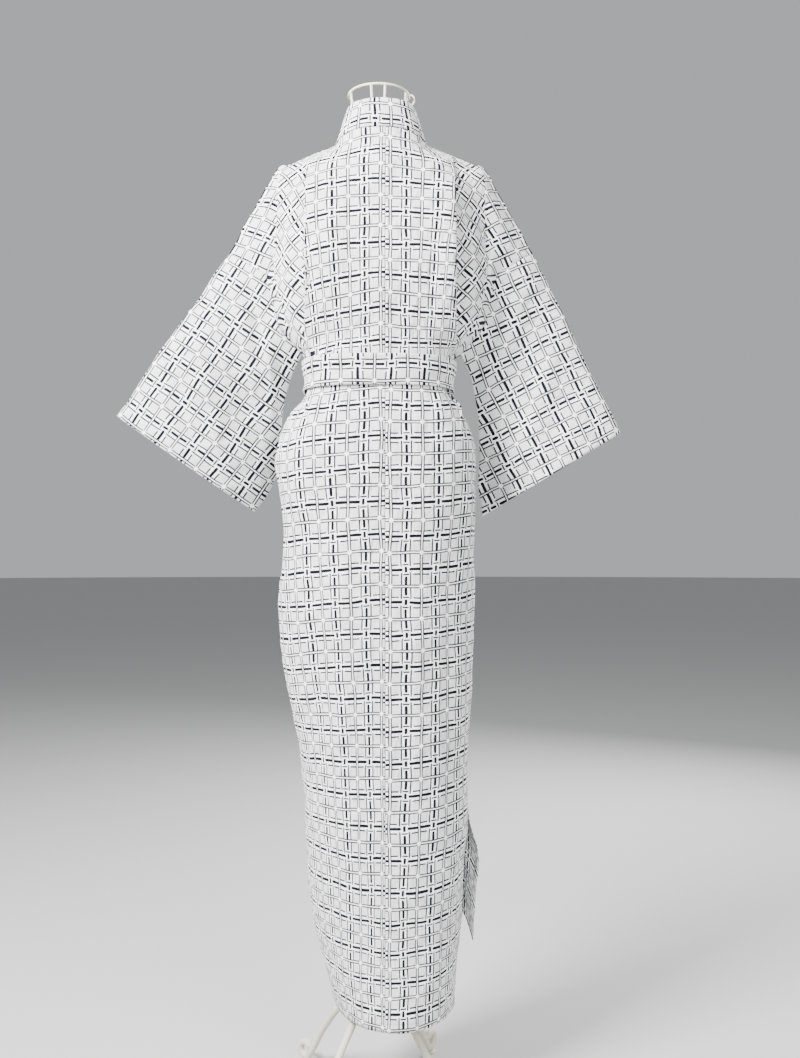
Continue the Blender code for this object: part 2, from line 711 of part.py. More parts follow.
def collar(look):
    rows = collar_side(-1)[:0:-1] + collar_side(1)
    sheet = Sheet()
    sheet.grid(rows, facing_out=False)
    return wall("collar", sheet, DOUBLED, look)


def belt(look):
    sheet = Sheet()
    rows = []
    for z in np.linspace(BELT_TOP, BELT_TOP - BELT_WIDTH, 3):
        ring = Ring(z)
        count = 48
        out = BELT_CLEAR + DOUBLED
        row = [ring.at(1, ring.length * k / count, out) for k in range(count)]
        rows.append(row + [row[0]])
    sheet.grid(rows, facing_out=True)
    return wall("belt", sheet, DOUBLED, look)


def belt_knot(look):
    """The knot: a short loop of the belt's cloth round the crossing, as one soft flat block."""
    front = Ring(BELT_TOP - BELT_WIDTH / 2).at(1, Ring(1.15).half, 0.0)
    stand_off = BELT_CLEAR + DOUBLED + KNOT_HALF.y + KNOT_GAP
    middle = np.array([CENTRE_X, front[1] - stand_off, BELT_TOP - KNOT_DROP])
    mesh = bmesh.new()
    bmesh.ops.create_uvsphere(mesh, u_segments=16, v_segments=10, radius=1.0)
    data = bpy.data.meshes.new("belt_knot")
    for v in mesh.verts:
        v.co = Vector(math.copysign(abs(c) ** KNOT_SQUARENESS, c) for c in v.co) * KNOT_HALF
    mesh.to_mesh(data)
    mesh.free()
    data.shade_smooth()
    made = add_object("belt_knot", data, look)
    made.location = middle
    return middle


def belt_end(name, knot, lean, look):
    """One free end of the belt, hanging from under the knot."""
    rows = []
    top = knot + np.array([lean * END_APART, 0.0, -END_DROP])
    run = np.array([lean * math.sin(END_LEAN), 0.0, -math.cos(END_LEAN)])
    across = np.array([math.cos(END_LEAN), 0.0, lean * math.sin(END_LEAN)])
    for along, forward in END_BOW:
        middle = top + run * along + np.array([0.0, forward + lean * END_LAYER, 0.0])
        width = END_HALF_TOP + (END_HALF - END_HALF_TOP) * min(along / END_FLARE, 1)
        rows.append([middle + across * width * s for s in (-1, 0, 1)])
    sheet = Sheet()
    sheet.grid(rows, facing_out=True)
    return wall(name, sheet, DOUBLED, look)


# ---------------------------------------------------------------- the wire form and its legs


def form_point(angle, z, out=0.0):
    """A point of the form. angle is measured from straight behind towards the wearer's left."""
    shape = table_at(FORM, z)
    return np.array(
        [
            (shape.half_x + out) * math.sin(angle),
            (shape.half_y + out) * math.cos(angle),
            z,
        ]
    )


def rib_angles():
    right_half = [FIRST_RIB, SIDE_RIB, math.pi - SIDE_RIB, math.pi - FIRST_RIB]
    return right_half + [-angle for angle in reversed(right_half)]


def form(look):
    for number, angle in enumerate(rib_angles(), 1):
        knots = [form_point(angle, ring.z) for ring in FORM]
        rod(f"rib_{number}", spline(knots, 2), WIRE, look)
    for name, z in HOOPS.items():
        angles = np.linspace(0, 2 * math.pi, 32, endpoint=False)
        path = [form_point(a, z, 2 * WIRE + 0.0012) for a in angles]
        rod(name, path, WIRE, look, closed=True)
    angles = np.linspace(0, 2 * math.pi, 32, endpoint=False)
    top = FORM[0]
    ring = [(top.half_x * math.sin(a), top.half_y * math.cos(a), NECK_RING_Z) for a in angles]
    rod("neck_ring", ring, WIRE, look, closed=True)
    for number, angle in enumerate(LEG_ANGLES):
        out = Vector((math.sin(angle), math.cos(angle), 0.0))
        start = out * (POLE_RADIUS + STAND_GAP)
        end = out * SPOKE_REACH
        path = [(p.x, p.y, SPOKE_Z) for p in (start, (start + end) / 2, end)]
        rod(f"spoke_{number + 1}", path, WIRE, look)


def hook(look):
    """A small open wire hook on the neck ring's wearer's-right end."""
    path = [Vector((-FORM[0].half_x - x, 0.0, NECK_RING_Z + z)) for x, z in HOOK]
    rod("hook", path, HOOK_WIRE, look)


def leg_path(angle):
    """A leg's middle line: an S down from the hub, a foot, and a scroll that turns up and out."""
    flat = [np.array(p) for p in spline(LEG, 2)]
    for degrees in range(-130, 151, 28):
        turn = math.radians(degrees)
        flat.append(
            np.array(
                [
                    SCROLL_CENTRE[0] + SCROLL_RADIUS * math.cos(turn),
                    SCROLL_CENTRE[1] + SCROLL_RADIUS * math.sin(turn),
                ]
            )
        )
    return [(r * math.sin(angle), r * math.cos(angle), z) for r, z in flat]


def stand(look):
    cylinder("pole", (0, 0, (HUB_Z + POLE_TOP) / 2), POLE_RADIUS, POLE_TOP - HUB_Z, look)
    hub_z = HUB_Z - STAND_GAP - HUB_HEIGHT / 2
    cylinder("hub", (0, 0, hub_z), HUB_RADIUS, HUB_HEIGHT, look)
    for number, angle in enumerate(LEG_ANGLES):
        rod(f"leg_{number + 1}", leg_path(angle), LEG_RADIUS, look)
        pad = (SCROLL_CENTRE[0] * math.sin(angle), SCROLL_CENTRE[0] * math.cos(angle))
        cylinder(f"pad_{number + 1}", (*pad, PAD_HEIGHT / 2), PAD_RADIUS, PAD_HEIGHT, look, 16)


# ---------------------------------------------------------------- the whole object


def clear_scene():
    for found in list(bpy.data.objects):
        bpy.data.objects.remove(found, do_unlink=True)


def centre_on_floor():
    """Moves everything so that the bounding box's middle stands on the origin."""
    bpy.context.view_layer.update()
    graph = bpy.context.evaluated_depsgraph_get()
    corners = []
    for found in bpy.context.scene.objects:
        seen = found.evaluated_get(graph)
        corners += [seen.matrix_world @ v.co for v in seen.to_mesh().vertices]
        seen.to_mesh_clear()
    low = [min(c[k] for c in corners) for k in range(3)]
    high = [max(c[k] for c in corners) for k in range(3)]
    shift = Vector((-(low[0] + high[0]) / 2, -(low[1] + high[1]) / 2, -low[2]))
    for found in bpy.context.scene.objects:
        found.location += shift


def main():
    clear_scene()
    cotton = material("cotton", *COTTON)
    enamel = material("enamel", *ENAMEL)
    for which, side in (("left", 1), ("right", -1)):
        body_panel(f"body_{which}", side, cotton)
        okumi(f"okumi_{which}", side, cotton)
        sleeve(f"sleeve_{which}", side, which, cotton)
    collar(cotton)
    belt(cotton)
    knot = belt_knot(cotton)
    belt_end("belt_end_left", knot, 1, cotton)
    belt_end("belt_end_right", knot, -1, cotton)
    form(enamel)
    hook(enamel)
    stand(enamel)
    centre_on_floor()


main()
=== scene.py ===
"""A cotton yukata robe with a woven check, tied with its own narrow belt, on a wire dress form.

Garment coordinates are metres with the form's pole at x = y = 0, the back facing +Y and the
wearer's left at +X; SHIFT takes them to the frame. Each cloth piece is a grid of points with two
UV maps. "Cloth" holds where a point lies on the flat cloth, in metres: U across it, along the
weft, and V down it, along the warp. "Edges" holds its distances from the piece's sewn edges.
"""

import math
from collections import namedtuple

import bpy
import mathutils
import numpy as np
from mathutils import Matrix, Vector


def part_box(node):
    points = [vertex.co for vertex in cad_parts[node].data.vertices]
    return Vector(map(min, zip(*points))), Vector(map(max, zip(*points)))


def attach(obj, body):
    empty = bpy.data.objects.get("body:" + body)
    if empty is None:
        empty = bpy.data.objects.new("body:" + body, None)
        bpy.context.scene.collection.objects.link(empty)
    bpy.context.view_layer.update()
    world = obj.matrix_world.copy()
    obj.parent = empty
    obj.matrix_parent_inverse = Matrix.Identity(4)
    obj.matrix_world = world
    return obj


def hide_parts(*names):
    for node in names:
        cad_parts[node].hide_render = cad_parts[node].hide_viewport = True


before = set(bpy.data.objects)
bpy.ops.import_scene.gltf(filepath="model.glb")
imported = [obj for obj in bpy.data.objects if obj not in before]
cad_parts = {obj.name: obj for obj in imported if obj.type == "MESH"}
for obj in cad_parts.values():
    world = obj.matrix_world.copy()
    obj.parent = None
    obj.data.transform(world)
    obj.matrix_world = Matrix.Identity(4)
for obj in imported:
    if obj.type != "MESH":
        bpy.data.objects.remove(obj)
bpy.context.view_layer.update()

bl_info = {
    "name": "Cotton yukata on a dress form",
    "version": (1, 0, 0),
    "blender": (4, 5, 0),
    "location": "View3D > Sidebar > Yukata",
    "description": "Builds a checked cotton yukata robe and the wire dress form that it hangs on",
    "category": "Object",
}

POLE_LOW, POLE_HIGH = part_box("pole")
SHIFT = np.array([(POLE_LOW.x + POLE_HIGH.x) / 2, (POLE_LOW.y + POLE_HIGH.y) / 2, 0.0])

# ---------------------------------------------------------------- driving dimensions (m)

SEAM_GAP = 0.0004
ARMHOLE_GAP = 0.0003
CORNER_GAP = 0.0012
LAYER = 0.008  # from the outer front down to the front that it laps over
CENTRE_X = -0.004
BACK_SEAM_X = -0.012
BELT_TOP = 1.168
BELT_WIDTH = 0.047
COLLAR_WIDTH = 0.050
COLLAR_END = 1.030
HEM = 0.147
REACH_UNDER = 0.85  # how far the under front crosses, against the outer one
FOLD_RADIUS = 0.0016
RING_STEPS = 720
FRONT_POWER = 2.4
CHEST_POWER = 2.5

SkirtRing = namedtuple("SkirtRing", "z left right back front power")
SKIRT = [
    SkirtRing(1.172, 0.1175, -0.1190, 0.098, -0.101, 2.8),
    SkirtRing(1.114, 0.1175, -0.1190, 0.096, -0.101, 2.8),
    SkirtRing(1.085, 0.1400, -0.1450, 0.099, -0.105, 2.6),
    SkirtRing(1.045, 0.1570, -0.1590, 0.104, -0.108, 2.5),
    SkirtRing(1.008, 0.1640, -0.1620, 0.106, -0.110, 2.4),
    SkirtRing(0.965, 0.1590, -0.1620, 0.106, -0.110, 2.3),
    SkirtRing(0.920, 0.1530, -0.1620, 0.105, -0.110, 2.2),
    SkirtRing(0.860, 0.1540, -0.1610, 0.103, -0.110, 2.1),
    SkirtRing(0.790, 0.1590, -0.1600, 0.101, -0.109, 2.1),
    SkirtRing(0.740, 0.1580, -0.1590, 0.100, -0.108, 2.1),
    SkirtRing(0.680, 0.1500, -0.1570, 0.099, -0.107, 2.1),
    SkirtRing(0.600, 0.1350, -0.1540, 0.098, -0.105, 2.0),
    SkirtRing(0.520, 0.1220, -0.1500, 0.098, -0.104, 2.0),
    SkirtRing(0.440, 0.1180, -0.1480, 0.098, -0.103, 2.0),
    SkirtRing(0.350, 0.1120, -0.1440, 0.099, -0.102, 2.0),
    SkirtRing(0.270, 0.1010, -0.1380, 0.102, -0.104, 1.9),
    SkirtRing(0.200, 0.0820, -0.1310, 0.108, -0.106, 1.9),
    SkirtRing(HEM, 0.0680, -0.1280, 0.115, -0.108, 1.8),
]

Wrap = namedtuple("Wrap", "z side okumi_seam okumi_edge")
WRAP = [
    Wrap(1.172, 0.185, 0.17, 0.25),
    Wrap(1.114, 0.187, 0.18, 0.28),
    Wrap(1.085, 0.200, 0.18, 0.31),
    Wrap(1.045, 0.222, 0.19, 0.34),
    Wrap(1.008, 0.240, 0.20, 0.42),
    Wrap(0.900, 0.262, 0.20, 0.42),
    Wrap(0.600, 0.262, 0.20, 0.41),
    Wrap(0.350, 0.235, 0.20, 0.43),
    Wrap(HEM, 0.215, 0.20, 0.46),
]
FLAP = 0.024
FLAP_TOP = 0.42
FLAP_REACH = 0.15  # how far below FLAP_TOP the flap stands out in full
DRAWN_UP_TOP = 0.70  # below this height the fronts are drawn up towards their free edge
DRAWN_UNDER = 0.35  # how much the under front is drawn up, against the outer one
# how far the hem is drawn up, from the side seam (0) round to the okumi's free edge (1)
DRAWN_UP = [(0.00, 0.000), (0.35, 0.020), (0.70, 0.090), (0.92, 0.130), (1.00, 0.096)]

BackRow = namedtuple(
    "BackRow",
    "inner_y inner_z pleat_x pleat_y pleat_z tuck valley_x valley_y valley_z arm_x arm_y arm_z",
)
BACK = [
    BackRow(0.060, 1.526, 0.113, 0.002, 1.503, 0.000, 0.166, 0.000, 1.480, 0.243, 0.000, 1.346),
    BackRow(0.076, 1.484, 0.113, 0.044, 1.475, 0.010, 0.164, 0.030, 1.440, 0.223, 0.014, 1.333),
    BackRow(0.092, 1.430, 0.113, 0.075, 1.428, 0.020, 0.165, 0.036, 1.385, 0.201, 0.022, 1.318),
    BackRow(0.102, 1.370, 0.113, 0.091, 1.370, 0.020, 0.165, 0.038, 1.330, 0.180, 0.024, 1.303),
    BackRow(0.106, 1.305, 0.113, 0.096, 1.305, 0.020, 0.160, 0.046, 1.275, 0.169, 0.022, 1.262),
    BackRow(0.104, 1.245, 0.113, 0.088, 1.247, 0.020, 0.148, 0.050, 1.228, 0.160, 0.024, 1.222),
    BackRow(0.100, 1.195, 0.114, 0.072, 1.197, 0.018, 0.125, 0.040, 1.190, 0.1255, 0.012, 1.184),
]
FOLD_DEPTH = 0.0045  # between the layers under the pleat's edge

FrontRow = namedtuple(
    "FrontRow", "inner_x inner_z depth width valley_x valley_z arm_x arm_y arm_z"
)
FRONT = [
    FrontRow(0.073, 1.516, 0.010, 0.190, 0.166, 1.480, 0.243, 0.000, 1.346),
    FrontRow(0.062, 1.474, 0.044, 0.190, 0.164, 1.440, 0.223, -0.014, 1.333),
    FrontRow(0.040, 1.420, 0.080, 0.178, 0.165, 1.385, 0.201, -0.022, 1.318),
    FrontRow(0.010, 1.362, 0.105, 0.172, 0.165, 1.330, 0.180, -0.024, 1.303),
    FrontRow(-0.026, 1.302, 0.114, 0.164, 0.160, 1.275, 0.169, -0.022, 1.262),
    FrontRow(-0.046, 1.245, 0.112, 0.153, 0.148, 1.228, 0.160, -0.020, 1.222),
    FrontRow(-0.060, 1.195, 0.106, 0.134, 0.112, 1.190, 0.1255, 0.012, 1.184),
]
NECKLINE = [(0.030, 0.057, 1.525), (0.058, 0.040, 1.521), (0.073, 0.010, 1.516)]

Guide = namedtuple("Guide", "belt inset free")
BACK_GUIDES = [
    Guide(0.000, 0.000, 0.00),
    Guide(0.026, 0.000, 0.10),
    Guide(0.052, 0.000, 0.20),
    Guide(0.080, 0.000, 0.31),
    Guide(0.110, 0.000, 0.43),
    Guide(0.136, 0.000, 0.54),
    Guide(0.122, 0.003, 0.58),
    Guide(0.140, 0.006, 0.63),
    Guide(0.153, 0.006, 0.72),
    Guide(0.164, 0.005, 0.80),
    Guide(0.175, 0.002, 0.90),
    Guide(0.185, 0.000, 1.00),
]
NECK, PLEAT, TUCK, UNDER, VALLEY, ARM = 3, 5, 6, 7, 9, 11
FRONT_GUIDES = [
    Guide(1.00, 0.000, 1.00),
    Guide(0.87, 0.000, 0.88),
    Guide(0.74, 0.000, 0.76),
    Guide(0.61, 0.000, 0.64),
    Guide(0.48, 0.000, 0.52),
    Guide(0.34, 0.000, 0.39),
    Guide(0.20, 0.000, 0.25),
    Guide(0.09, 0.000, 0.12),
    Guide(0.00, 0.000, 0.00),
]
RELEASE_TOP = 1.112
RELEASE_BOTTOM = 1.030

SleeveRow = namedtuple("SleeveRow", "along bottom_x bottom_y bottom_z back front armhole")
SLEEVES = {
    1: [
        SleeveRow(0.000, 0.1255, 0.012, 1.184, 0.000, 0.000, 1.0),
        SleeveRow(0.040, 0.1430, -0.008, 1.158, 0.012, 0.012, 0.7),
        SleeveRow(0.100, 0.1600, -0.034, 1.110, 0.024, 0.022, 0.3),
        SleeveRow(0.170, 0.1680, -0.052, 1.040, 0.032, 0.024, 0.1),
        SleeveRow(0.240, 0.1760, -0.054, 0.985, 0.034, 0.022, 0.0),
        SleeveRow(0.315, 0.2090, -0.040, 0.934, 0.034, 0.022, 0.0),
    ],
    -1: [
        SleeveRow(0.000, 0.1255, 0.012, 1.184, 0.000, 0.000, 1.0),
        SleeveRow(0.040, 0.1420, -0.008, 1.158, 0.012, 0.012, 0.7),
        SleeveRow(0.100, 0.1560, -0.036, 1.110, 0.024, 0.022, 0.3),
        SleeveRow(0.170, 0.1620, -0.056, 1.040, 0.032, 0.024, 0.1),
        SleeveRow(0.240, 0.1600, -0.062, 0.980, 0.034, 0.022, 0.0),
        SleeveRow(0.315, 0.1680, -0.064, 0.928, 0.034, 0.022, 0.0),
    ],
}
WRIST_TOP = {1: (0.424, 0.000, 1.086), -1: (0.382, 0.000, 1.058)}

CollarRow = namedtuple("CollarRow", "seam_x seam_y seam_z edge_x edge_y edge_z")
COLLAR = [
    CollarRow(0.000, 0.060, 1.526, 0.000, 0.054, 1.574),
    CollarRow(0.030, 0.057, 1.525, 0.026, 0.050, 1.573),
    CollarRow(0.058, 0.040, 1.521, 0.048, 0.034, 1.571),
    CollarRow(0.073, 0.010, 1.516, 0.057, 0.004, 1.563),
    CollarRow(0.070, -0.018, 1.496, 0.050, -0.026, 1.540),
    CollarRow(0.062, -0.042, 1.474, 0.030, -0.056, 1.508),
    CollarRow(0.052, -0.062, 1.447, 0.014, -0.075, 1.476),
    CollarRow(0.040, None, 1.420, -0.001, -0.088, 1.446),
    CollarRow(0.010, None, 1.362, -0.034, None, 1.386),
    CollarRow(-0.026, None, 1.302, -0.068, None, 1.327),
    CollarRow(-0.058, None, 1.245, -0.090, None, 1.264),
    CollarRow(-0.077, None, 1.193, -0.106, None, 1.198),
]
PROUD = 0.004
OKUMI_TOP = [(-0.050, 1.260), (-0.058, 1.245), (-0.077, 1.193)]

FormRing = namedtuple("FormRing", "z half_x half_y")
FORM = [
    FormRing(1.5945, 0.0480, 0.0480),
    FormRing(1.5600, 0.0420, 0.0400),
    FormRing(1.5200, 0.0420, 0.0330),
    FormRing(1.4850, 0.0640, 0.0340),
    FormRing(1.4500, 0.0980, 0.0440),
    FormRing(1.3900, 0.1080, 0.0640),
    FormRing(1.3100, 0.1020, 0.0720),
    FormRing(1.2300, 0.0860, 0.0620),
    FormRing(1.1500, 0.0800, 0.0600),
    FormRing(1.0600, 0.1100, 0.0720),
    FormRing(0.9800, 0.1240, 0.0780),
    FormRing(0.9000, 0.1240, 0.0780),
]
FIRST_RIB = math.radians(13)
SIDE_RIB = math.radians(66)
WIRE = 0.0020
HOOPS = {"hoop_chest": 1.39, "hoop_waist": 1.15, "hoop_hip": 0.91}
NECK_RING_Z = 1.598
LEG = [
    (0.0304, 0.395),
    (0.0360, 0.350),
    (0.0400, 0.290),
    (0.0440, 0.230),
    (0.0500, 0.180),
    (0.0640, 0.142),
    (0.0980, 0.104),
    (0.1270, 0.066),
    (0.1450, 0.036),
]
LEG_RADIUS = 0.0058
SCROLL_CENTRE = (0.1680, 0.0206)
SCROLL_RADIUS = 0.0118
LEG_ANGLES = [math.radians(a) for a in (35, 131, 211, 315)]
POLE_RADIUS = 0.011
POLE_TOP = 1.34
HUB_Z = 0.400
HUB_RADIUS = 0.024
HUB_HEIGHT = 0.060
SPOKE_Z = 0.95
SPOKE_REACH = 0.070
PAD_RADIUS = 0.009
PAD_HEIGHT = 0.0025
HOOK_WIRE = 0.0013
# the hook's middle line, outwards from the neck ring and up from it
HOOK = [
    (0.0006, 0.0010),
    (0.0030, 0.0022),
    (0.0052, 0.0024),
    (0.0068, 0.0010),
    (0.0084, -0.0016),
    (0.0088, -0.0052),
    (0.0082, -0.0092),
    (0.0060, -0.0128),
]
HOOP_CLEAR = 0.0012  # between the ribs and the hoops round them
STAND_GAP = 0.0003  # between the parts of the stand that are joined
HUB_RIM = 0.004
HUB_ROUND = 0.001
PAD_SIDES = 28
PAD_PROFILE = [
    (PAD_RADIUS - 0.0008, 0.0),
    (PAD_RADIUS, 0.0007),
    (PAD_RADIUS, 0.0018),
    (PAD_RADIUS - 0.0009, PAD_HEIGHT),
]
BEAD_SIDES = 12

BELT_CLEAR = 0.0035  # between the body's middle surface and the belt's
KNOT_HALF = (0.021, 0.0080, 0.0255)
KNOT_AHEAD = 0.0165  # from the body to the knot's middle
KNOT_DROP = 0.026  # from the belt's top to the knot's middle
END_APART = 0.012
END_DROP = 0.030  # from the knot's middle to where the free ends start
END_RUN = (0.34, 0.94)  # how far aside and down each metre of an end goes
END_TUCKED = 0.004  # how far each end reaches up under the knot
END_LENGTH = 0.145
END_LAYER = 0.004
END_BOW = [(0.0, 0.0), (0.03, -0.004), (0.07, -0.006), (0.11, -0.003), (END_LENGTH, 0.0)]
END_HALF_TOP = 0.016
END_WIDENING = 0.006
END_FLARE = 0.05  # how far down an end has its full width

# The cut of each piece, width and length, and its area where it isn't a rectangle.
BODY_CUT = ((0.32, 2.78), 0.78)
OKUMI_CUTS = {1: ((0.11, 1.12), 0.100), -1: ((0.09, 1.12), 0.080)}
SLEEVE_CUT = ((0.52, 0.32), None)
COLLAR_CUT = ((0.05, 1.24), None)
BELT_CUT = ((0.047, 0.75), None)
KNOT_CUT = ((0.042, 0.11), None)
END_CUT = ((0.044, 0.15), None)

# ---------------------------------------------------------------- the stage

FLOOR_RADIUS = 45.0
FLOOR_SIDES = 96
FLOOR_COLOUR = (0.42, 0.42, 0.42)
ROOM_COLOUR = (0.93, 0.94, 0.96)
ROOM_STRENGTH = 0.50
CAMERA_PLACE = (-0.034, 1.70, 0.86)
CAMERA_LENS = 36.07
CAMERA_SHIFT_Y = 0.0265
LIGHTS = [
    # name, place, aim, size, watts
    ("Key", (1.4, 1.3, 2.35), (0.0, 0.0, 1.30), (0.8, 0.8), 340),
    ("Fill", (-1.8, 2.6, 1.9), (0.0, 0.0, 1.1), (2.0, 2.0), 130),
    ("Rim", (-1.4, -2.2, 2.2), (0.0, 0.0, 1.1), (1.6, 1.6), 190),
]

REPEAT = 0.050
THREAD = 0.0007  # from one thread to the next
STITCH = 0.005

# How many repeats of the check lie above each height, down the centre back of the left panel.
WeftMark = namedtuple("WeftMark", "z repeats")
WEFTS = [
    WeftMark(1.526, -0.78),
    WeftMark(1.485, 0.0),
    WeftMark(1.336, 3.0),
    WeftMark(1.189, 6.0),
    WeftMark(0.994, 10.0),
    WeftMark(0.794, 14.0),
    WeftMark(0.599, 18.0),
    WeftMark(0.404, 22.0),
    WeftMark(0.3075, 24.0),
    WeftMark(0.221, 26.0),
    WeftMark(HEM, 27.65),
]
# How far the wefts have dropped at EDGE_OUT from the centre back seam, on each side, and how
# much narrower than the flat cloth the panel lies there.
Hang = namedtuple("Hang", "z left_drop right_drop left_full right_full left_gather right_gather")
HANG = [
    Hang(1.526, 0.000, 0.000, 1.00, 1.00, 0.000, 0.000),
    Hang(1.434, 0.010, 0.003, 1.00, 1.00, 0.000, 0.000),
    Hang(1.384, 0.011, 0.005, 1.00, 1.00, 0.004, 0.009),
    Hang(1.336, 0.015, 0.009, 1.00, 1.00, 0.010, 0.020),
    Hang(1.286, 0.020, 0.008, 1.00, 1.00, 0.017, 0.029),
    Hang(1.237, 0.023, 0.010, 1.00, 1.00, 0.026, 0.038),
    Hang(1.189, 0.021, 0.006, 1.00, 1.00, 0.030, 0.040),
    Hang(1.093, 0.007, -0.008, 1.00, 1.00, 0.004, 0.004),
    Hang(1.044, 0.008, -0.008, 0.98, 1.00, 0.000, 0.000),
    Hang(0.944, 0.006, -0.008, 1.00, 1.00, 0.000, 0.000),
    Hang(0.794, 0.008, -0.008, 1.09, 1.00, 0.000, 0.014),
    Hang(0.696, 0.008, -0.008, 1.16, 0.97, 0.000, 0.014),
    Hang(0.600, 0.005, -0.008, 1.27, 1.01, 0.000, 0.007),
    Hang(0.500, 0.000, -0.008, 1.35, 1.05, 0.000, 0.000),
    Hang(0.350, -0.012, -0.007, 1.47, 1.18, 0.000, 0.000),
    Hang(HEM, -0.016, -0.006, 1.47, 1.15, 0.000, 0.000),
]
EDGE_OUT = 0.125
# Where the dark lines lie, in repeats unless named in metres.
WARP_START = -0.64 * REPEAT  # U at the centre back seam
WEFT_STEP = {1: 0.0, -1: 0.08 * REPEAT}  # how much lower the right panel's wefts lie
SEAM_WARP = {1: 0.90, -1: 0.79}  # from the last dark warp to the armhole, along the shoulder
WRIST_WARP = 0.55  # from the last dark warp to the wrist
FOLD_WEFT = 0.58  # from the sleeve's top fold to the first dark weft
FRONT_WARP = 0.30
FRONT_WEFT = 0.40
COLLAR_WARP = 0.25
COLLAR_WEFT = -0.18
BELT_WARP = 0.32
BELT_WEFT = 0.17

# Above the belt, beyond the pleat, the cloth hangs askew: its turn, in degrees, and the place of
# one crossing of the dark lines on it.
Skew = namedtuple("Skew", "turn x z")
SKEW = {1: Skew(38, 0.1514, 1.327), -1: Skew(33, 0.1350, 1.357)}


# ---------------------------------------------------------------- smooth lines


def ease(t):
    t = np.clip(t, 0.0, 1.0)
    return t * t * (3 - 2 * t)


def flow(x, xs, ys):
    """The smooth curve through the points (xs, ys), read at x. xs rises."""
    xs = np.asarray(xs, float)
    ys = np.asarray(ys, float)
    slopes = np.gradient(ys, xs)
    x = np.clip(x, xs[0], xs[-1])
    k = np.clip(np.searchsorted(xs, x, side="right") - 1, 0, len(xs) - 2)
    step = xs[k + 1] - xs[k]
    t = (x - xs[k]) / step
    t2 = t * t
    t3 = t2 * t
    return (
        (2 * t3 - 3 * t2 + 1) * ys[k]
        + (t3 - 2 * t2 + t) * step * slopes[k]
        + (3 * t2 - 2 * t3) * ys[k + 1]
        + (t3 - t2) * step * slopes[k + 1]
    )


def at_height(table, column, z, key="z"):
    """A column of a table whose rows run downwards, read at height z."""
    heights = [-getattr(row, key) for row in table]
    return flow(-np.asarray(z, float), heights, [getattr(row, column) for row in table])


def catmull(points, places):
    """The Catmull-Rom curve through points, along their first axis, read at places."""
    points = np.asarray(points, float)
    last = len(points) - 1
    places = np.clip(np.asarray(places, float), 0, last)
    k = np.minimum(places.astype(int), last - 1)
    t = (places - k).reshape(-1, *([1] * (points.ndim - 1)))
    before = points[np.maximum(k - 1, 0)]
    start = points[k]
    end = points[k + 1]
    after = points[np.minimum(k + 2, last)]
    return 0.5 * (
        2 * start
        + (end - before) * t
        + (2 * before - 5 * start + 4 * end - after) * t**2
        + (3 * start - before - 3 * end + after) * t**3
    )


def along(points, axis):
    """Distance walked along an axis of a grid of points."""
    steps = np.linalg.norm(np.diff(points, axis=axis), axis=-1)
    start = np.zeros_like(np.take(steps, [0], axis=axis))
    return np.concatenate([start, np.cumsum(steps, axis=axis)], axis=axis)


# ---------------------------------------------------------------- rings of the waist and skirt


class Ring:
    """A level section of the robe, walked from the centre back seam towards either side."""

    def __init__(self, z):
        left, right, back, front, power = (
            float(at_height(SKIRT, name, z)) for name in ("left", "right", "back", "front", "power")
        )
        turn = np.linspace(0, 2 * math.pi, RING_STEPS + 1)
        half_x = (left - right) / 2
        sine = np.sin(turn)
        cosine = np.cos(turn)
        power = np.where(cosine > 0, power, FRONT_POWER)
        depth = np.where(cosine > 0, back, -front)
        self.x = (left + right) / 2 + half_x * np.sign(sine) * np.abs(sine) ** (2 / power)
        self.y = depth * np.sign(cosine) * np.abs(cosine) ** (2 / power)
        steps = np.hypot(np.diff(self.x), np.diff(self.y))
        self.walk = np.concatenate([[0], np.cumsum(steps)])
        self.length = self.walk[-1]
        self.half = self.length / 2
        quarter = RING_STEPS // 4
        back_x = np.r_[self.x[-quarter:-1], self.x[:quarter]]
        back_walk = np.r_[self.walk[-quarter:-1] - self.length, self.walk[:quarter]]
        self.seam = float(np.interp(BACK_SEAM_X, back_x, back_walk))
        self.z = z

    def read(self, place):
        place = place % self.length
        return np.stack(
            [np.interp(place, self.walk, self.x), np.interp(place, self.walk, self.y)], axis=-1
        )

    def at(self, side, distance, out=0.0):
        """Points at distances round from the centre back seam, moved outwards by out."""
        place = self.seam + side * np.asarray(distance, float)
        step = self.read(place + 0.003) - self.read(place - 0.003)
        step /= np.linalg.norm(step, axis=-1, keepdims=True)
        outward = np.stack([-step[..., 1], step[..., 0]], axis=-1)
        here = self.read(place) + outward * np.asarray(out, float)[..., None]
        return np.concatenate([here, np.full((*here.shape[:-1], 1), self.z)], axis=-1)


def inset_of(side, share):
    """The under panel lies LAYER inside the ring once it is past the back."""
    return np.zeros_like(share) if side > 0 else -LAYER * ease((share - 0.22) / 0.22)


def drawn_up(side, ring, distance, places):
    """Points of a front, drawn up with the front's hem."""
    reach = 1.0 if side > 0 else REACH_UNDER
    start = wrap_at(ring.z, "side")
    edge = ring.half * (1 + wrap_at(ring.z, "okumi_edge") * reach)
    rise = flow(np.maximum((distance - start) / (edge - start), 0.0), *zip(*DRAWN_UP))
    share = 1.0 if side > 0 else DRAWN_UNDER
    rise *= share * ease((DRAWN_UP_TOP - ring.z) / (DRAWN_UP_TOP - HEM))
    return places + rise[:, None] * [0, 0, 1]


def released(z):
    return float(ease((RELEASE_TOP - z) / (RELEASE_TOP - RELEASE_BOTTOM)))


def wrap_at(z, column):
    return float(at_height(WRAP, column, z))


# ---------------------------------------------------------------- fine columns of a body panel

MIDDLE = np.linspace(0, PLEAT, 34)
BEYOND = np.linspace(UNDER, ARM, 34)
FOLD_COLUMNS = 10
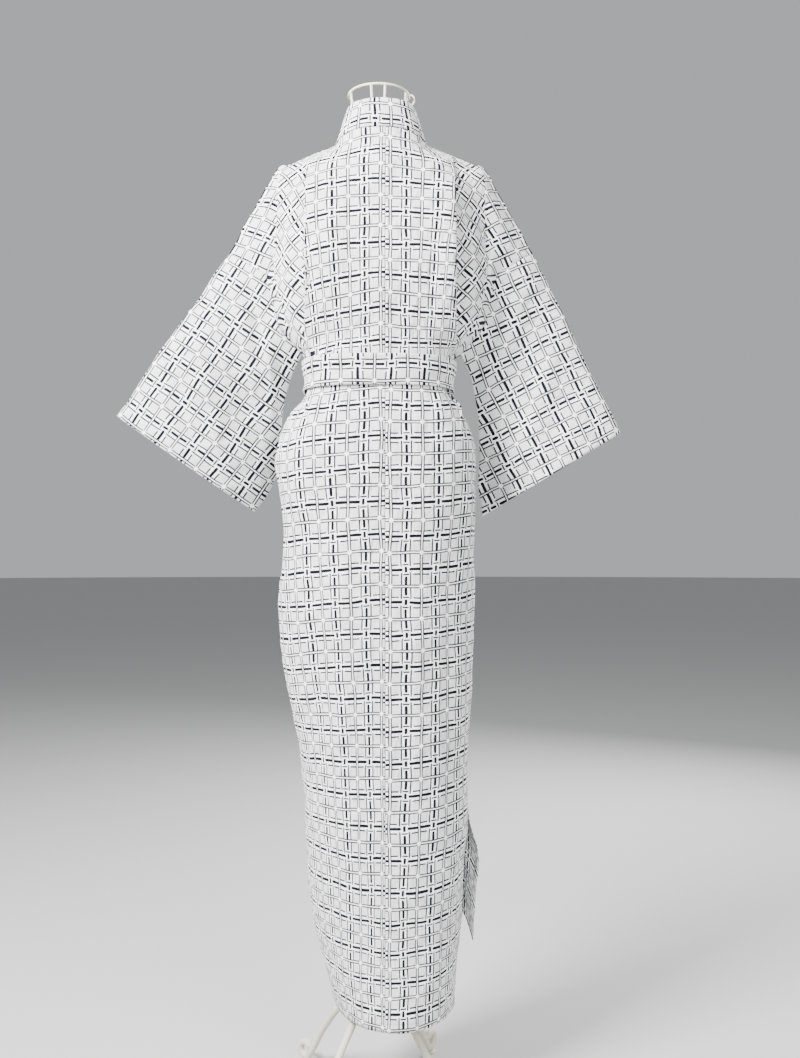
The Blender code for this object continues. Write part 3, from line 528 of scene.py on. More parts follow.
# the place of every fine column among the guides; the fold's own lie between PLEAT and UNDER
PLACES = np.concatenate([MIDDLE, np.linspace(PLEAT, UNDER, FOLD_COLUMNS + 2)[1:-1], BEYOND])
FIRST_SHARED = int(np.searchsorted(MIDDLE, NECK))


def fold_points(side, edge, tuck, under):
    """Round the pleat's edge, back in to the tuck, and out again to the cloth beneath."""
    back_in = side * float((edge - tuck)[0])
    r = min(max(0.15 * back_in, 0.0002), FOLD_RADIUS)
    points = []
    for turn in np.linspace(0, math.pi, 5)[1:]:
        points.append(edge + [side * r * math.sin(turn), -r * (1 - math.cos(turn)), 0.0])
    start = points[-1]
    points += [start + (tuck - start) * t for t in (1 / 3, 2 / 3)]
    points += [tuck + (under - tuck) * t for t in (0.0, 0.25, 0.5, 0.75)]
    return np.array(points)


def towards(side, x, y, z):
    return np.array([CENTRE_X + side * x, y, z])


def between(a, b, share, back_by=0.0):
    return a + (b - a) * share + np.array([0.0, back_by, 0.0])


def spread(side, guides):
    """One row's fine columns from its twelve guides."""
    guides = np.array(guides)
    middle = catmull(guides[: PLEAT + 1], MIDDLE)
    beyond = catmull(guides[UNDER:], BEYOND - UNDER)
    fold = fold_points(side, guides[PLEAT], guides[TUCK], guides[UNDER])
    return np.concatenate([middle, fold, beyond])


def shoulder_fold(side):
    """The points that back and front share, from the side of the neck to the armhole."""
    row = BACK[0]
    neck = towards(side, *NECKLINE[-1])
    pleat = towards(side, row.pleat_x, row.pleat_y, row.pleat_z)
    valley = towards(side, row.valley_x, row.valley_y, row.valley_z)
    arm = towards(side, row.arm_x, row.arm_y, row.arm_z)
    shares = [between(pleat, valley, share) for share in (0.22, 0.42, 0.70)]
    return [neck, between(neck, pleat, 0.5), pleat, *shares, valley, between(valley, arm, 0.5), arm]


def back_guides(side, number):
    row = BACK[number]
    inner = np.array([BACK_SEAM_X + side * SEAM_GAP / 2, row.inner_y, row.inner_z])
    if number == 0:
        return [inner, *(towards(side, *p) for p in NECKLINE[:-1]), *shoulder_fold(side)]
    bulge = min(number, 3) / 3
    depth = FOLD_DEPTH * min(number, 2) / 2
    pleat = towards(side, row.pleat_x, row.pleat_y, row.pleat_z)
    valley = towards(side, row.valley_x, row.valley_y, row.valley_z)
    arm = towards(side, row.arm_x, row.arm_y, row.arm_z)
    turn = 0.7 * (row.inner_y - row.pleat_y)
    middle = [between(inner, pleat, t, turn * (t - t * t)) for t in (0.22, 0.43, 0.64, 0.83)]
    tuck = pleat + np.array([-side * row.tuck, -depth, 0.0])
    under = pleat + np.array([side * 0.003, -2 * depth, -0.002])
    drape = between(under, valley, 0.55, 0.006 * bulge)
    outer = between(valley, arm, 0.5, 0.008 * bulge)
    return [inner, *middle, pleat, tuck, under, drape, valley, outer, arm]


def on_front(side, x, z, sunk=0.0):
    """The point of the front at x and z, sunk that far inside the outer layer."""
    heights = [-row.inner_z for row in FRONT] + [-SKIRT[0].z]
    depth = flow(-z, heights, [row.depth for row in FRONT] + [-SKIRT[0].front])
    width = flow(-z, heights, [row.width for row in FRONT] + [SKIRT[0].left])
    share = max(1 - (abs(x) / width) ** CHEST_POWER, 0.0) ** (1 / CHEST_POWER)
    return towards(side, x, sunk - depth * share, z)


def front_guides(side, number):
    """One row of the front above the belt, from its inner edge out to the armhole."""
    row = FRONT[number]
    reach = REACH_UNDER if side < 0 and row.inner_x < 0 else 1.0
    sunk = LAYER * min(number, 2) / 2 if side < 0 else 0.0
    rise = 1.0 if number < len(FRONT) - 1 else 0.0
    arm = towards(side, row.arm_x, row.arm_y, row.arm_z)
    path = []
    for share in np.linspace(0, 1, 25):
        x = row.inner_x * reach + (row.valley_x - row.inner_x * reach) * share
        z = row.inner_z + (row.valley_z - row.inner_z) * share**2
        path.append(on_front(side, x, z, sunk * (1 - rise * share**8)))
    path = np.array(path)
    walk = along(path, 0)
    places = np.linspace(0, walk[-1], 7)
    line = np.stack([np.interp(places, walk, axis) for axis in path.T], axis=-1)
    outer = between(path[-1], arm, 0.5, -0.004)
    return [*line, outer, arm]


def skirt_row(side, z, front):
    """The fine columns of one level row, and how far round from the centre back seam each is."""
    ring = Ring(z)
    free = released(z)
    side_seam = wrap_at(z, "side")
    guides = FRONT_GUIDES if front else BACK_GUIDES
    numbers = np.arange(len(guides)) + (NECK if front else 0)
    belt, inset, loose = (np.array(column) for column in zip(*guides))
    if front:
        reach = 1.0 if side > 0 else REACH_UNDER
        end = ring.half * (1 + wrap_at(z, "okumi_seam") * reach) - SEAM_GAP
        tied = side_seam + (end - side_seam) * belt
        loose = side_seam + (end - side_seam) * loose
    else:
        # beyond the fold the guides reach out to the side seam, where the front starts
        beyond = np.maximum(belt - belt[UNDER], 0) / (belt[-1] - belt[UNDER])
        tied = belt + (side_seam - belt[-1]) * beyond
        loose = side_seam * loose
    distance = tied + (loose - tied) * free
    inset = -inset * (1 - free)
    places = PLACES[FIRST_SHARED:] if front else PLACES
    fine = np.interp(places, numbers, distance)
    out = np.interp(places, numbers, inset) + inset_of(side, fine / ring.half)
    row = ring.at(side, fine, out)
    if not front:
        turns = [PLEAT, TUCK, UNDER]
        folded = fold_points(side, *ring.at(side, distance[turns], inset[turns]))
        fold = slice(len(MIDDLE), len(MIDDLE) + FOLD_COLUMNS)
        row[fold] = folded * (1 - free) + row[fold] * free
        row[0, 0] += side * SEAM_GAP / 2
    else:
        row = drawn_up(side, ring, fine, row)
    return row, fine


BODICE_STEPS = 14
STEER = 0.02  # how far below the belt's top a row steers the curve into the skirt
SKIRT_HEIGHTS = np.linspace(SKIRT[0].z, HEM, 150)


# ---------------------------------------------------------------- places on the flat cloth


def weft_repeats(z):
    z = np.asarray(z, float)
    marked = flow(-z, [-m.z for m in WEFTS], [m.repeats for m in WEFTS])
    return marked - np.maximum(z - WEFTS[0].z, 0) / REPEAT


def middle_uv(side, distance, z):
    """Where the flat middle part of the back, or the skirt, lies on the cloth."""
    which = "left" if side > 0 else "right"
    names = (f"{which}_{name}" for name in ("drop", "full", "gather"))
    drop, full, gather = (at_height(HANG, name, z) for name in names)
    share = np.clip(distance / EDGE_OUT, 0, 1.3)
    u = WARP_START + distance * full + gather * share**2
    v = REPEAT * weft_repeats(z) - WEFT_STEP[side] - drop * share**1.6
    return np.stack([u, v], axis=-1)


def turned(u, v, degrees):
    c = math.cos(math.radians(degrees))
    s = math.sin(math.radians(degrees))
    return np.stack([c * u + s * v, c * v - s * u], axis=-1)


def on_fold(start, end, x, z):
    """Distances along the line from start to end, and squarely down from it, in x and z."""
    run = (np.array(end) - start) / np.linalg.norm(np.array(end) - start)
    along_fold = (x - start[0]) * run[0] + (z - start[1]) * run[1]
    across = (x - start[0]) * run[1] - (z - start[1]) * run[0]
    return along_fold, across


def bodice_zones(side, points, plumb_row):
    """The back above the belt in three zones, each its columns and where they lie on the cloth.

    The flat middle hangs plumb at plumb_row, the cloth beyond the pleat hangs askew, and the cloth
    beyond the valley lies square to the shoulder.
    """
    walk = along(points, 1)
    down = along(points, 0)
    x = side * (points[..., 0] - CENTRE_X)
    z = points[..., 2]
    fall = down - down[plumb_row]
    line = np.interp(fall, fall[:, 0], z[:, 0]) + np.maximum(fall[0, 0] - fall, 0)
    middle = middle_uv(side, walk, line)
    skew = SKEW[side]
    start = len(MIDDLE) + FOLD_COLUMNS
    valley = start + int(np.argmin(abs(BEYOND - VALLEY)))
    level = along(points[..., :2], 1)
    inwards = level[:, valley, None] - level
    row = int(np.argmin(abs(z[:, valley] - skew.z)))
    beyond = slice(start, valley + 1)
    anchor = np.interp(-skew.x, -x[row, beyond][::-1], inwards[row, beyond][::-1])
    askew = turned(anchor - inwards, skew.z - z, skew.turn)
    first = BACK[0]
    corner = np.array([first.valley_x, first.valley_z])
    seam = np.array([first.arm_x, first.arm_z])
    along_fold, across = on_fold(corner, seam, x, z)
    from_seam = along_fold - np.linalg.norm(seam - corner)
    square = np.stack([from_seam + SEAM_WARP[side] * REPEAT, across], axis=-1)
    outer = slice(valley, points.shape[1])
    flat = slice(0, start + 1)
    return [(flat, middle[:, flat]), (beyond, askew[:, beyond]), (outer, square[:, outer])]


# ---------------------------------------------------------------- cloth as a mesh


class Cloth:
    """Grids of points that share the points that they have in common."""

    def __init__(self):
        self.points = []
        self.known = {}
        self.faces = []
        self.corners = []

    def grid(self, points, cloth_uv, edge_uv, facing_out):
        rows, columns = points.shape[:2]
        ids = np.empty((rows, columns), int)
        for r in range(rows):
            for c in range(columns):
                key = tuple(np.round(points[r, c], 6))
                if key not in self.known:
                    self.known[key] = len(self.points)
                    self.points.append(points[r, c])
                ids[r, c] = self.known[key]
        uv = np.concatenate([cloth_uv, edge_uv], axis=-1)
        for r in range(rows - 1):
            for c in range(columns - 1):
                places = [(r, c), (r + 1, c), (r + 1, c + 1), (r, c + 1)]
                kept = {}
                for place in places if facing_out else places[::-1]:
                    kept.setdefault(int(ids[place]), uv[place])
                if len(kept) > 2:
                    self.faces.append(list(kept))
                    self.corners.append(list(kept.values()))


def normals_of(points, faces):
    """Each point's normal, weighted by the area of the faces round it."""
    quads = np.array([face if len(face) == 4 else [*face, face[-1]] for face in faces])
    a, b, c, d = (points[quads[:, k]] for k in range(4))
    facing = np.cross(c - a, d - b)
    total = np.zeros_like(points)
    for k in range(4):
        np.add.at(total, quads[:, k], facing)
    return total / np.maximum(np.linalg.norm(total, axis=1, keepdims=True), 1e-12)


def cloth_object(name, cloth, thickness, relief=None):
    """The cloth as a thin closed shell: its outer face, its inner face, and a rim between."""
    points = np.array(cloth.points)
    faces = cloth.faces
    if relief is not None:
        facing = normals_of(points, faces)
        points = points + facing * relief(points, facing)[:, None]
    facing = normals_of(points, faces)
    count = len(points)
    inner = points - facing * thickness
    edges = {}
    for number, face in enumerate(faces):
        for k, start in enumerate(face):
            end = face[(k + 1) % len(face)]
            if (end, start) in edges:
                del edges[(end, start)]
            else:
                edges[(start, end)] = (number, k)
    shell = list(faces) + [[v + count for v in reversed(face)] for face in faces]
    corners = list(cloth.corners) + [corner[::-1] for corner in cloth.corners]
    for (start, end), (number, k) in edges.items():
        first = cloth.corners[number][k]
        last = cloth.corners[number][(k + 1) % len(cloth.corners[number])]
        shell.append([end, start, start + count, end + count])
        corners.append([last, first, first, last])
    mesh = bpy.data.meshes.new(name)
    mesh.from_pydata(np.concatenate([points, inner]) + SHIFT, [], shell)
    flat = np.array([uv for corner in corners for uv in corner], np.float32)
    for layer, columns in (("Cloth", slice(0, 2)), ("Edges", slice(2, 4))):
        mesh.uv_layers.new(name=layer).data.foreach_set("uv", flat[:, columns].ravel())
    mesh.shade_smooth()
    made = bpy.data.objects.new(name, mesh)
    bpy.context.scene.collection.objects.link(made)
    return made


# ---------------------------------------------------------------- creases

# Soft ridges and troughs, as lines in x and z on the back or the front: their half width and how
# far they stand out, below zero for a trough.
Crease = namedtuple("Crease", "x1 z1 x2 z2 width height")
BACK_CREASES = [
    # the middle, between the pleats
    Crease(0.062, 1.46, 0.074, 1.20, 0.016, -0.0020),
    Crease(0.030, 1.44, 0.034, 1.19, 0.014, 0.0014),
    Crease(-0.050, 1.44, -0.046, 1.20, 0.015, 0.0014),
    Crease(-0.086, 1.42, -0.078, 1.20, 0.014, -0.0016),
    Crease(-0.018, 1.225, -0.026, 1.185, 0.006, 0.0020),
    Crease(-0.030, 1.215, -0.012, 1.180, 0.005, -0.0016),
    # drawn folds from the pleats' edges down to the underarms
    Crease(0.150, 1.400, 0.124, 1.325, 0.007, 0.0030),
    Crease(0.156, 1.350, 0.122, 1.270, 0.007, -0.0026),
    Crease(0.150, 1.300, 0.116, 1.225, 0.007, 0.0028),
    Crease(0.140, 1.262, 0.122, 1.205, 0.006, -0.0024),
    Crease(-0.150, 1.410, -0.128, 1.330, 0.007, 0.0028),
    Crease(-0.158, 1.350, -0.130, 1.260, 0.007, -0.0026),
    Crease(-0.150, 1.300, -0.132, 1.225, 0.007, 0.0028),
    # where the body falls back beside the sleeves
    Crease(0.176, 1.400, 0.168, 1.230, 0.010, -0.0040),
    Crease(-0.172, 1.420, -0.160, 1.230, 0.010, -0.0040),
    # gathers below the belt
    Crease(0.104, 1.118, 0.112, 1.060, 0.006, 0.0022),
    Crease(0.084, 1.118, 0.090, 1.070, 0.005, -0.0016),
    Crease(0.048, 1.118, 0.052, 1.075, 0.005, 0.0014),
    Crease(0.012, 1.118, 0.010, 1.085, 0.004, -0.0012),
    Crease(-0.020, 1.118, -0.024, 1.080, 0.005, 0.0018),
    Crease(-0.034, 1.118, -0.040, 1.085, 0.004, -0.0014),
    Crease(-0.070, 1.118, -0.080, 1.060, 0.006, 0.0016),
    Crease(-0.096, 1.118, -0.112, 1.060, 0.006, -0.0018),
    # the fold that bulges over the left hip
    Crease(0.158, 1.045, 0.142, 0.985, 0.012, 0.0040),
    Crease(0.140, 0.975, 0.118, 0.935, 0.008, -0.0030),
    # long soft folds of the skirt
    Crease(0.092, 0.92, 0.100, 0.52, 0.014, 0.0024),
    Crease(0.062, 0.90, 0.070, 0.42, 0.013, -0.0026),
    Crease(0.118, 0.80, 0.112, 0.40, 0.012, -0.0024),
    Crease(0.028, 0.84, 0.034, 0.34, 0.014, 0.0020),
    Crease(-0.056, 0.78, -0.060, 0.30, 0.015, 0.0018),
    Crease(-0.086, 0.86, -0.092, 0.34, 0.013, -0.0022),
    Crease(-0.116, 0.88, -0.120, 0.40, 0.010, 0.0026),
    Crease(-0.134, 0.80, -0.136, 0.45, 0.008, -0.0024),
]
FRONT_CREASES = [
    Crease(0.080, 1.44, 0.060, 1.22, 0.016, -0.0018),
    Crease(0.120, 1.40, 0.096, 1.22, 0.012, 0.0024),
    Crease(-0.110, 1.42, -0.106, 1.22, 0.014, -0.0020),
    Crease(-0.140, 1.38, -0.124, 1.22, 0.010, 0.0024),
    Crease(0.080, 1.118, 0.088, 1.060, 0.006, 0.0018),
    Crease(0.050, 1.118, 0.056, 1.070, 0.005, -0.0014),
    Crease(-0.050, 1.118, -0.052, 1.070, 0.005, 0.0014),
    Crease(-0.090, 1.118, -0.098, 1.060, 0.006, -0.0016),
    Crease(0.096, 0.95, 0.090, 0.45, 0.014, 0.0022),
    Crease(0.052, 0.92, 0.048, 0.36, 0.014, -0.0022),
    Crease(0.000, 0.96, 0.004, 0.30, 0.015, 0.0016),
    Crease(-0.060, 0.90, -0.056, 0.34, 0.014, -0.0018),
    Crease(-0.110, 0.92, -0.108, 0.40, 0.012, 0.0022),
]
SLEEVE_CREASES = [
    Crease(0.235, 1.300, 0.182, 1.100, 0.016, -0.0028),
    Crease(0.262, 1.270, 0.206, 1.040, 0.018, 0.0024),
    Crease(0.300, 1.215, 0.240, 0.985, 0.018, -0.0020),
    Crease(0.330, 1.180, 0.286, 1.010, 0.018, 0.0018),
    Crease(0.210, 1.290, 0.176, 1.190, 0.010, 0.0024),
    Crease(0.176, 1.230, 0.172, 1.060, 0.012, -0.0050),
    Crease(-0.176, 1.230, -0.164, 1.060, 0.012, -0.0050),
    Crease(-0.235, 1.300, -0.180, 1.110, 0.016, -0.0030),
    Crease(-0.256, 1.270, -0.194, 1.040, 0.018, 0.0024),
    Crease(-0.290, 1.210, -0.222, 0.990, 0.018, -0.0020),
    Crease(-0.316, 1.170, -0.262, 1.000, 0.018, 0.0018),
    Crease(-0.208, 1.290, -0.178, 1.190, 0.010, 0.0026),
]
CREASE_DEPTH = 1.6  # how much deeper than listed every crease is made
RIPPLES = 26
RIPPLE_SEED = 11
RIPPLE_HEIGHT = 0.0010


def ripples():
    """Directions, phases and heights of waves that together look like softly rumpled cotton."""
    rng = np.random.default_rng(RIPPLE_SEED)
    lengths = np.geomspace(0.022, 0.16, RIPPLES)
    directions = rng.normal(size=(RIPPLES, 3))
    directions /= np.linalg.norm(directions, axis=1, keepdims=True)
    phases = rng.uniform(0, 2 * math.pi, RIPPLES)
    heights = (lengths / lengths.max()) ** 0.7
    heights *= RIPPLE_HEIGHT / math.sqrt((heights**2).sum() / 2)
    return directions / lengths[:, None] * 2 * math.pi, phases, heights


WAVES = ripples()


def creased(points, creases):
    """How far the creases lift each point."""
    total = np.zeros(len(points))
    place = points[:, [0, 2]]
    for crease in creases:
        start = np.array([crease.x1, crease.z1])
        line = np.array([crease.x2, crease.z2]) - start
        share = np.clip((place - start) @ line / (line @ line), 0, 1)
        off = np.linalg.norm(place - start - share[:, None] * line, axis=1)
        swell = np.sin(math.pi * (0.12 + 0.76 * share))
        total += CREASE_DEPTH * crease.height * swell * np.exp(-((off / crease.width) ** 2))
    return total


def rumple(points):
    directions, phases, heights = WAVES
    return np.sin(points @ directions.T + phases) @ heights


def body_relief(points, facing):
    back = ease((facing[:, 1] + 0.1) / 0.5)
    front = ease((-facing[:, 1] + 0.1) / 0.5)
    total = creased(points, BACK_CREASES) * back + creased(points, FRONT_CREASES) * front
    total += rumple(points)
    shoulder = ease((points[:, 2] - 1.45) / 0.05)
    tied = np.exp(-(((points[:, 2] - BELT_TOP + BELT_WIDTH / 2) / 0.030) ** 4))
    return total * (1 - 0.6 * shoulder) * (1 - tied)


def sleeve_relief(points, facing):
    edge = ease((abs(points[:, 0] - CENTRE_X) - 0.135) / 0.05)
    flat = ease((abs(facing[:, 1]) - 0.1) / 0.4)
    return (creased(points, SLEEVE_CREASES) * flat + rumple(points)) * edge


def band_relief(points, facing):
    return rumple(points) * 0.25


# ---------------------------------------------------------------- the cloth pieces

SHELL = 0.0007
BAND_SHELL = 0.0014


def body_panel(name, side):
    coarse_back = [spread(side, back_guides(side, k)) for k in range(len(BACK))]
    plumb_row = 3 * BODICE_STEPS
    top_z = SKIRT[0].z
    for z in (top_z, top_z - STEER):
        coarse_back.append(skirt_row(side, z, False)[0])
    rows = np.linspace(0, len(BACK), len(BACK) * BODICE_STEPS + 1)
    upper = catmull(coarse_back, rows)
    upper[-1] = coarse_back[len(BACK)]
    lower = [skirt_row(side, z, False) for z in SKIRT_HEIGHTS]
    skirt = np.array([row for row, _ in lower])
    distance = np.array([fine for _, fine in lower])
    skirt_uv = middle_uv(side, distance, skirt[..., 2])
    cloth = Cloth()
    edge = np.stack([along(upper, 1), upper[..., 2] - HEM], axis=-1)
    for columns, uv in bodice_zones(side, upper, plumb_row):
        cloth.grid(upper[:, columns], uv, edge[:, columns], facing_out=side > 0)
    edge = np.stack([along(skirt, 1), skirt[..., 2] - HEM], axis=-1)
    cloth.grid(skirt, skirt_uv, edge, facing_out=side > 0)
    shared = coarse_back[0][FIRST_SHARED:]
    places = PLACES[FIRST_SHARED:] - NECK
    coarse_front = [shared]
    coarse_front += [catmull(front_guides(side, k), places) for k in range(1, len(FRONT))]
    for z in (top_z, top_z - STEER):
        coarse_front.append(skirt_row(side, z, True)[0])
    upper = catmull(coarse_front, rows)
    upper[0] = shared
    upper[-1] = coarse_front[len(FRONT)]
    lower = [skirt_row(side, z, True) for z in SKIRT_HEIGHTS]
    skirt = np.array([row for row, _ in lower])
    distance = np.array([fine for _, fine in lower])
    walk = along(upper, 1)
    down = along(upper, 0)
    across = side * (upper[:, :1, 0] - CENTRE_X) + walk
    upper_uv = np.stack([across + FRONT_WARP * REPEAT, down + FRONT_WEFT * REPEAT], axis=-1)
    skirt_uv = middle_uv(side, distance, skirt[..., 2])
    skirt_uv[..., 0] = distance - distance[:, -1:] - FRONT_WARP * REPEAT
    for points, uv in ((upper, upper_uv), (skirt, skirt_uv)):
        edge = np.stack([along(points, 1), points[..., 2] - HEM], axis=-1)
        cloth.grid(points, uv, edge, facing_out=side < 0)
    return cloth_object(name, cloth, SHELL, body_relief)


def okumi(name, side):
    sunk = LAYER if side < 0 else 0.0
    reach = REACH_UNDER if side < 0 else 1.0
    shares = np.linspace(0, 1, 20)
    coarse = []
    for edge_x, z in OKUMI_TOP:
        start = float(at_height(FRONT, "inner_x", z, "inner_z")) * reach - CORNER_GAP
        end = edge_x * reach + CORNER_GAP
        coarse.append([on_front(side, start + (end - start) * t, z, sunk) for t in shares])
    rows = []
    for z in [SKIRT[0].z, SKIRT[0].z - STEER, *SKIRT_HEIGHTS]:
        ring = Ring(z)
        start = ring.half * (1 + wrap_at(z, "okumi_seam") * reach)
        end = ring.half * (1 + wrap_at(z, "okumi_edge") * reach)
        distance = start + SEAM_GAP + (end - start - SEAM_GAP - CORNER_GAP) * shares
        flap = FLAP * float(ease((FLAP_TOP - z) / FLAP_REACH)) if side > 0 else 0.0
        stand_off = flap * shares**2
        out = inset_of(side, np.ones(len(shares))) + stand_off
        rows.append(drawn_up(side, ring, distance, ring.at(side, distance, out)))
    coarse += rows[:2]
    count = len(OKUMI_TOP)
    upper = catmull(np.array(coarse), np.linspace(0, count, count * BODICE_STEPS + 1))
    upper[-1] = rows[0]
    points = np.concatenate([upper[:-1], rows[2:]])
    walk = along(points, 1)
    down = along(points, 0)
    uv = np.stack([walk + 0.30 * REPEAT, down[:, :1] + 0.2 * REPEAT + 0 * walk], axis=-1)
    edge = np.stack([walk[:, -1:] - walk, points[..., 2] - HEM], axis=-1)
    cloth = Cloth()
    cloth.grid(points, uv, edge, facing_out=side < 0)
    return cloth_object(name, cloth, SHELL, body_relief)


def sleeve(name, side):
    table = SLEEVES[side]
    spans = [row.along for row in table]
    length = spans[-1]
    back = np.array([towards(side, r.arm_x, r.arm_y, r.arm_z) for r in BACK])
    front = np.array([towards(side, r.arm_x, r.arm_y, r.arm_z) for r in FRONT])
    top_start = back[0]
    top_end = towards(side, *WRIST_TOP[side])
    last = len(BACK) - 1
    t = np.linspace(0, 1, 60)
    seams = []
    for layer in (back, front):
        straight = layer[0] + (layer[-1] - layer[0]) * t[:, None]
        seams.append(catmull(layer, t * last) - straight)
    puff_shape = np.sin(math.pi * t) ** 0.8
    loops = []
    for reach in np.linspace(0, length, 66):
        values = {
            field: float(flow(reach, spans, [getattr(row, field) for row in table]))
            for field in SleeveRow._fields
        }
        top = top_start + (top_end - top_start) * reach / length
        bottom = towards(side, values["bottom_x"], values["bottom_y"], values["bottom_z"])
        sides = []
        for seam, facing, bulge in ((seams[0], 1, values["back"]), (seams[1], -1, values["front"])):
            line = top + (bottom - top) * t[:, None] + seam * values["armhole"]
            line[:, 1] += bulge * puff_shape * facing
            sides.append(line)
        loops.append(np.concatenate([sides[0], sides[1][::-1][1:]]))
    loops = np.array(loops)
    run = loops[1] - loops[0]
    loops[0] += run / np.linalg.norm(run, axis=1, keepdims=True) * ARMHOLE_GAP
    x = side * (loops[..., 0] - CENTRE_X)
    along_fold, across = on_fold(
        (BACK[0].arm_x, BACK[0].arm_z), (WRIST_TOP[side][0], WRIST_TOP[side][2]), x, loops[..., 2]
    )
    across = np.maximum(across, 0)
    across[:, len(t) :] *= -1
    u = along_fold - length + WRIST_WARP * REPEAT
    uv = np.stack([u, across - FOLD_WEFT * REPEAT], axis=-1)
    edge = np.stack([length - along_fold, abs(across)], axis=-1)
    half = len(t)
    cloth = Cloth()
    cloth.grid(loops[:, :half], uv[:, :half], edge[:, :half], facing_out=side < 0)
    front_uv = uv[:, half - 1 :].copy()
    front_uv[:, 0, 1] = -across[:, half - 1] - FOLD_WEFT * REPEAT
    cloth.grid(loops[:, half - 1 :], front_uv, edge[:, half - 1 :], facing_out=side < 0)
    return cloth_object(name, cloth, SHELL, sleeve_relief)


def collar_point(side, x, y, z, sunk):
    if y is None:
        return on_front(side, x, z, sunk)
    return towards(side, x, y + sunk, z)


COLLAR_COLUMNS = 13


def collar_side(side):
    """The collar from the centre back to its end, as rows of points from seam to free edge."""
    shares = np.linspace(0, 1, COLLAR_COLUMNS)
    under = side < 0
    coarse = []
    for number, row in enumerate(COLLAR):
        if under:
            sunk = LAYER * float(ease((number - 4) / 3))
        else:
            sunk = -PROUD * float(ease((number - 8) / 2))
        seam_x = row.seam_x * (REACH_UNDER if under and row.seam_x < 0 else 1.0)
        edge_x = row.edge_x * (REACH_UNDER if under and row.edge_x < 0 else 1.0)
        seam = collar_point(side, seam_x, row.seam_y, row.seam_z, sunk)
        edge = collar_point(side, edge_x, row.edge_y, row.edge_z, sunk)
        start = seam + (edge - seam) / np.linalg.norm(edge - seam) * CORNER_GAP
        coarse.append([between(start, edge, share) for share in shares])
    rings = []
    for z in SKIRT_HEIGHTS:
        if z < COLLAR_END:
            break
        ring = Ring(z)
        reach = REACH_UNDER if under else 1.0
        end = ring.half * (1 + wrap_at(z, "okumi_edge") * reach)
        distance = end + CORNER_GAP + (COLLAR_WIDTH - CORNER_GAP) * shares
        rings.append(ring.at(side, distance, inset_of(side, np.ones(len(shares)))))
    coarse += [rings[0], rings[2]]
    count = len(COLLAR)
    upper = catmull(np.array(coarse), np.linspace(0, count, count * 8 + 1))
    upper[-1] = rings[0]
    return np.concatenate([upper, rings[1:]])


def collar(name):
    under = collar_side(-1)
    points = np.concatenate([under[:0:-1], collar_side(1)])
    middle = len(under) - 1
    walk = along(points, 0)
    walk = (walk - walk[middle]).mean(axis=1, keepdims=True)
    across = along(points, 1)
    down = walk + COLLAR_WEFT * REPEAT + 0 * across
    uv = np.stack([across - COLLAR_WARP * REPEAT, down], axis=-1)
    edge = np.stack([across, across[:, -1:] - across], axis=-1)
    cloth = Cloth()
    cloth.grid(points, uv, edge, facing_out=False)
    return cloth_object(name, cloth, BAND_SHELL, collar_relief)


def collar_relief(points, facing):
    nape = np.exp(-(((points[:, 0] - BACK_SEAM_X) / 0.06) ** 2)) * (points[:, 1] > 0)
    band = np.sin(math.pi * np.clip((points[:, 2] - 1.528) / 0.045, 0, 1))
    return rumple(points) * 0.35 + 0.0012 * nape * band


def belt(name):
    rows = []
    distances = []
    for z in np.linspace(BELT_TOP, BELT_TOP - BELT_WIDTH, 15):
        ring = Ring(z)
        distance = np.linspace(0, ring.length, 241)
        rows.append(ring.at(1, distance, BELT_CLEAR))
        distances.append(distance)
    points = np.array(rows)
    points[:, -1] = points[:, 0]
    distances = np.array(distances)
    middle = distances.shape[1] // 2
    down = along(points, 0)
    edge = np.stack([down, down[-1:] - down], axis=-1)
    cloth = Cloth()
    # left of the back seam, then right of it; the two meet under the knot
    for columns, start in ((slice(0, middle + 1), 0.0), (slice(middle, None), distances[:, -1:])):
        reach = distances[:, columns] - start
        uv = [down[:, columns] - BELT_WARP * REPEAT, reach + BELT_WEFT * REPEAT]
        cloth.grid(points[:, columns], np.stack(uv, axis=-1), edge[:, columns], facing_out=True)
    return cloth_object(name, cloth, BAND_SHELL, belt_relief)


def belt_relief(points, facing):
    middle = BELT_TOP - BELT_WIDTH / 2
    sag = 0.0009 * np.sin((points[:, 2] - middle) * 190 + points[:, 0] * 24)
    return rumple(points) * 0.5 + sag * ease((points[:, 1] + 0.02) / 0.05)


def knot_middle():
    front = Ring(BELT_TOP - BELT_WIDTH / 2).at(1, Ring(1.15).half, 0.0)
    return np.array([CENTRE_X, front[1] - KNOT_AHEAD, BELT_TOP - KNOT_DROP])


def belt_knot(name):
    """The knot's outer wrap: the belt's cloth passed once over the crossing and pulled flat."""
    middle = knot_middle()
    turn = np.linspace(0, 2 * math.pi, 49)
    shares = np.linspace(-1, 1, 25)
    rows = []
    for share in shares:
        waist = 1 - 0.16 * math.exp(-((share / 0.55) ** 2))
        pulled = KNOT_HALF[0] * share
        sine = np.sin(turn)
        cosine = np.cos(turn)
        depth = KNOT_HALF[1] * (1 - 0.45 * share**6) * np.sign(cosine) * abs(cosine) ** 0.55
        height = KNOT_HALF[2] * waist * np.sign(sine) * abs(sine) ** 0.75
        lean = 0.004 * share * np.sign(sine) * abs(sine)
        place = np.stack([pulled + lean, depth, height], axis=-1)
        rows.append(middle + place)
    points = np.array(rows)
    points[:, -1] = points[:, 0]
    walk = along(points, 1)
    across = along(points, 0)
    uv = np.stack([across - 0.4 * REPEAT, walk], axis=-1)
    edge = np.stack([across, across[-1:] - across], axis=-1)
    cloth = Cloth()
    cloth.grid(points, uv, edge, facing_out=False)
    return cloth_object(name, cloth, BAND_SHELL, knot_relief)


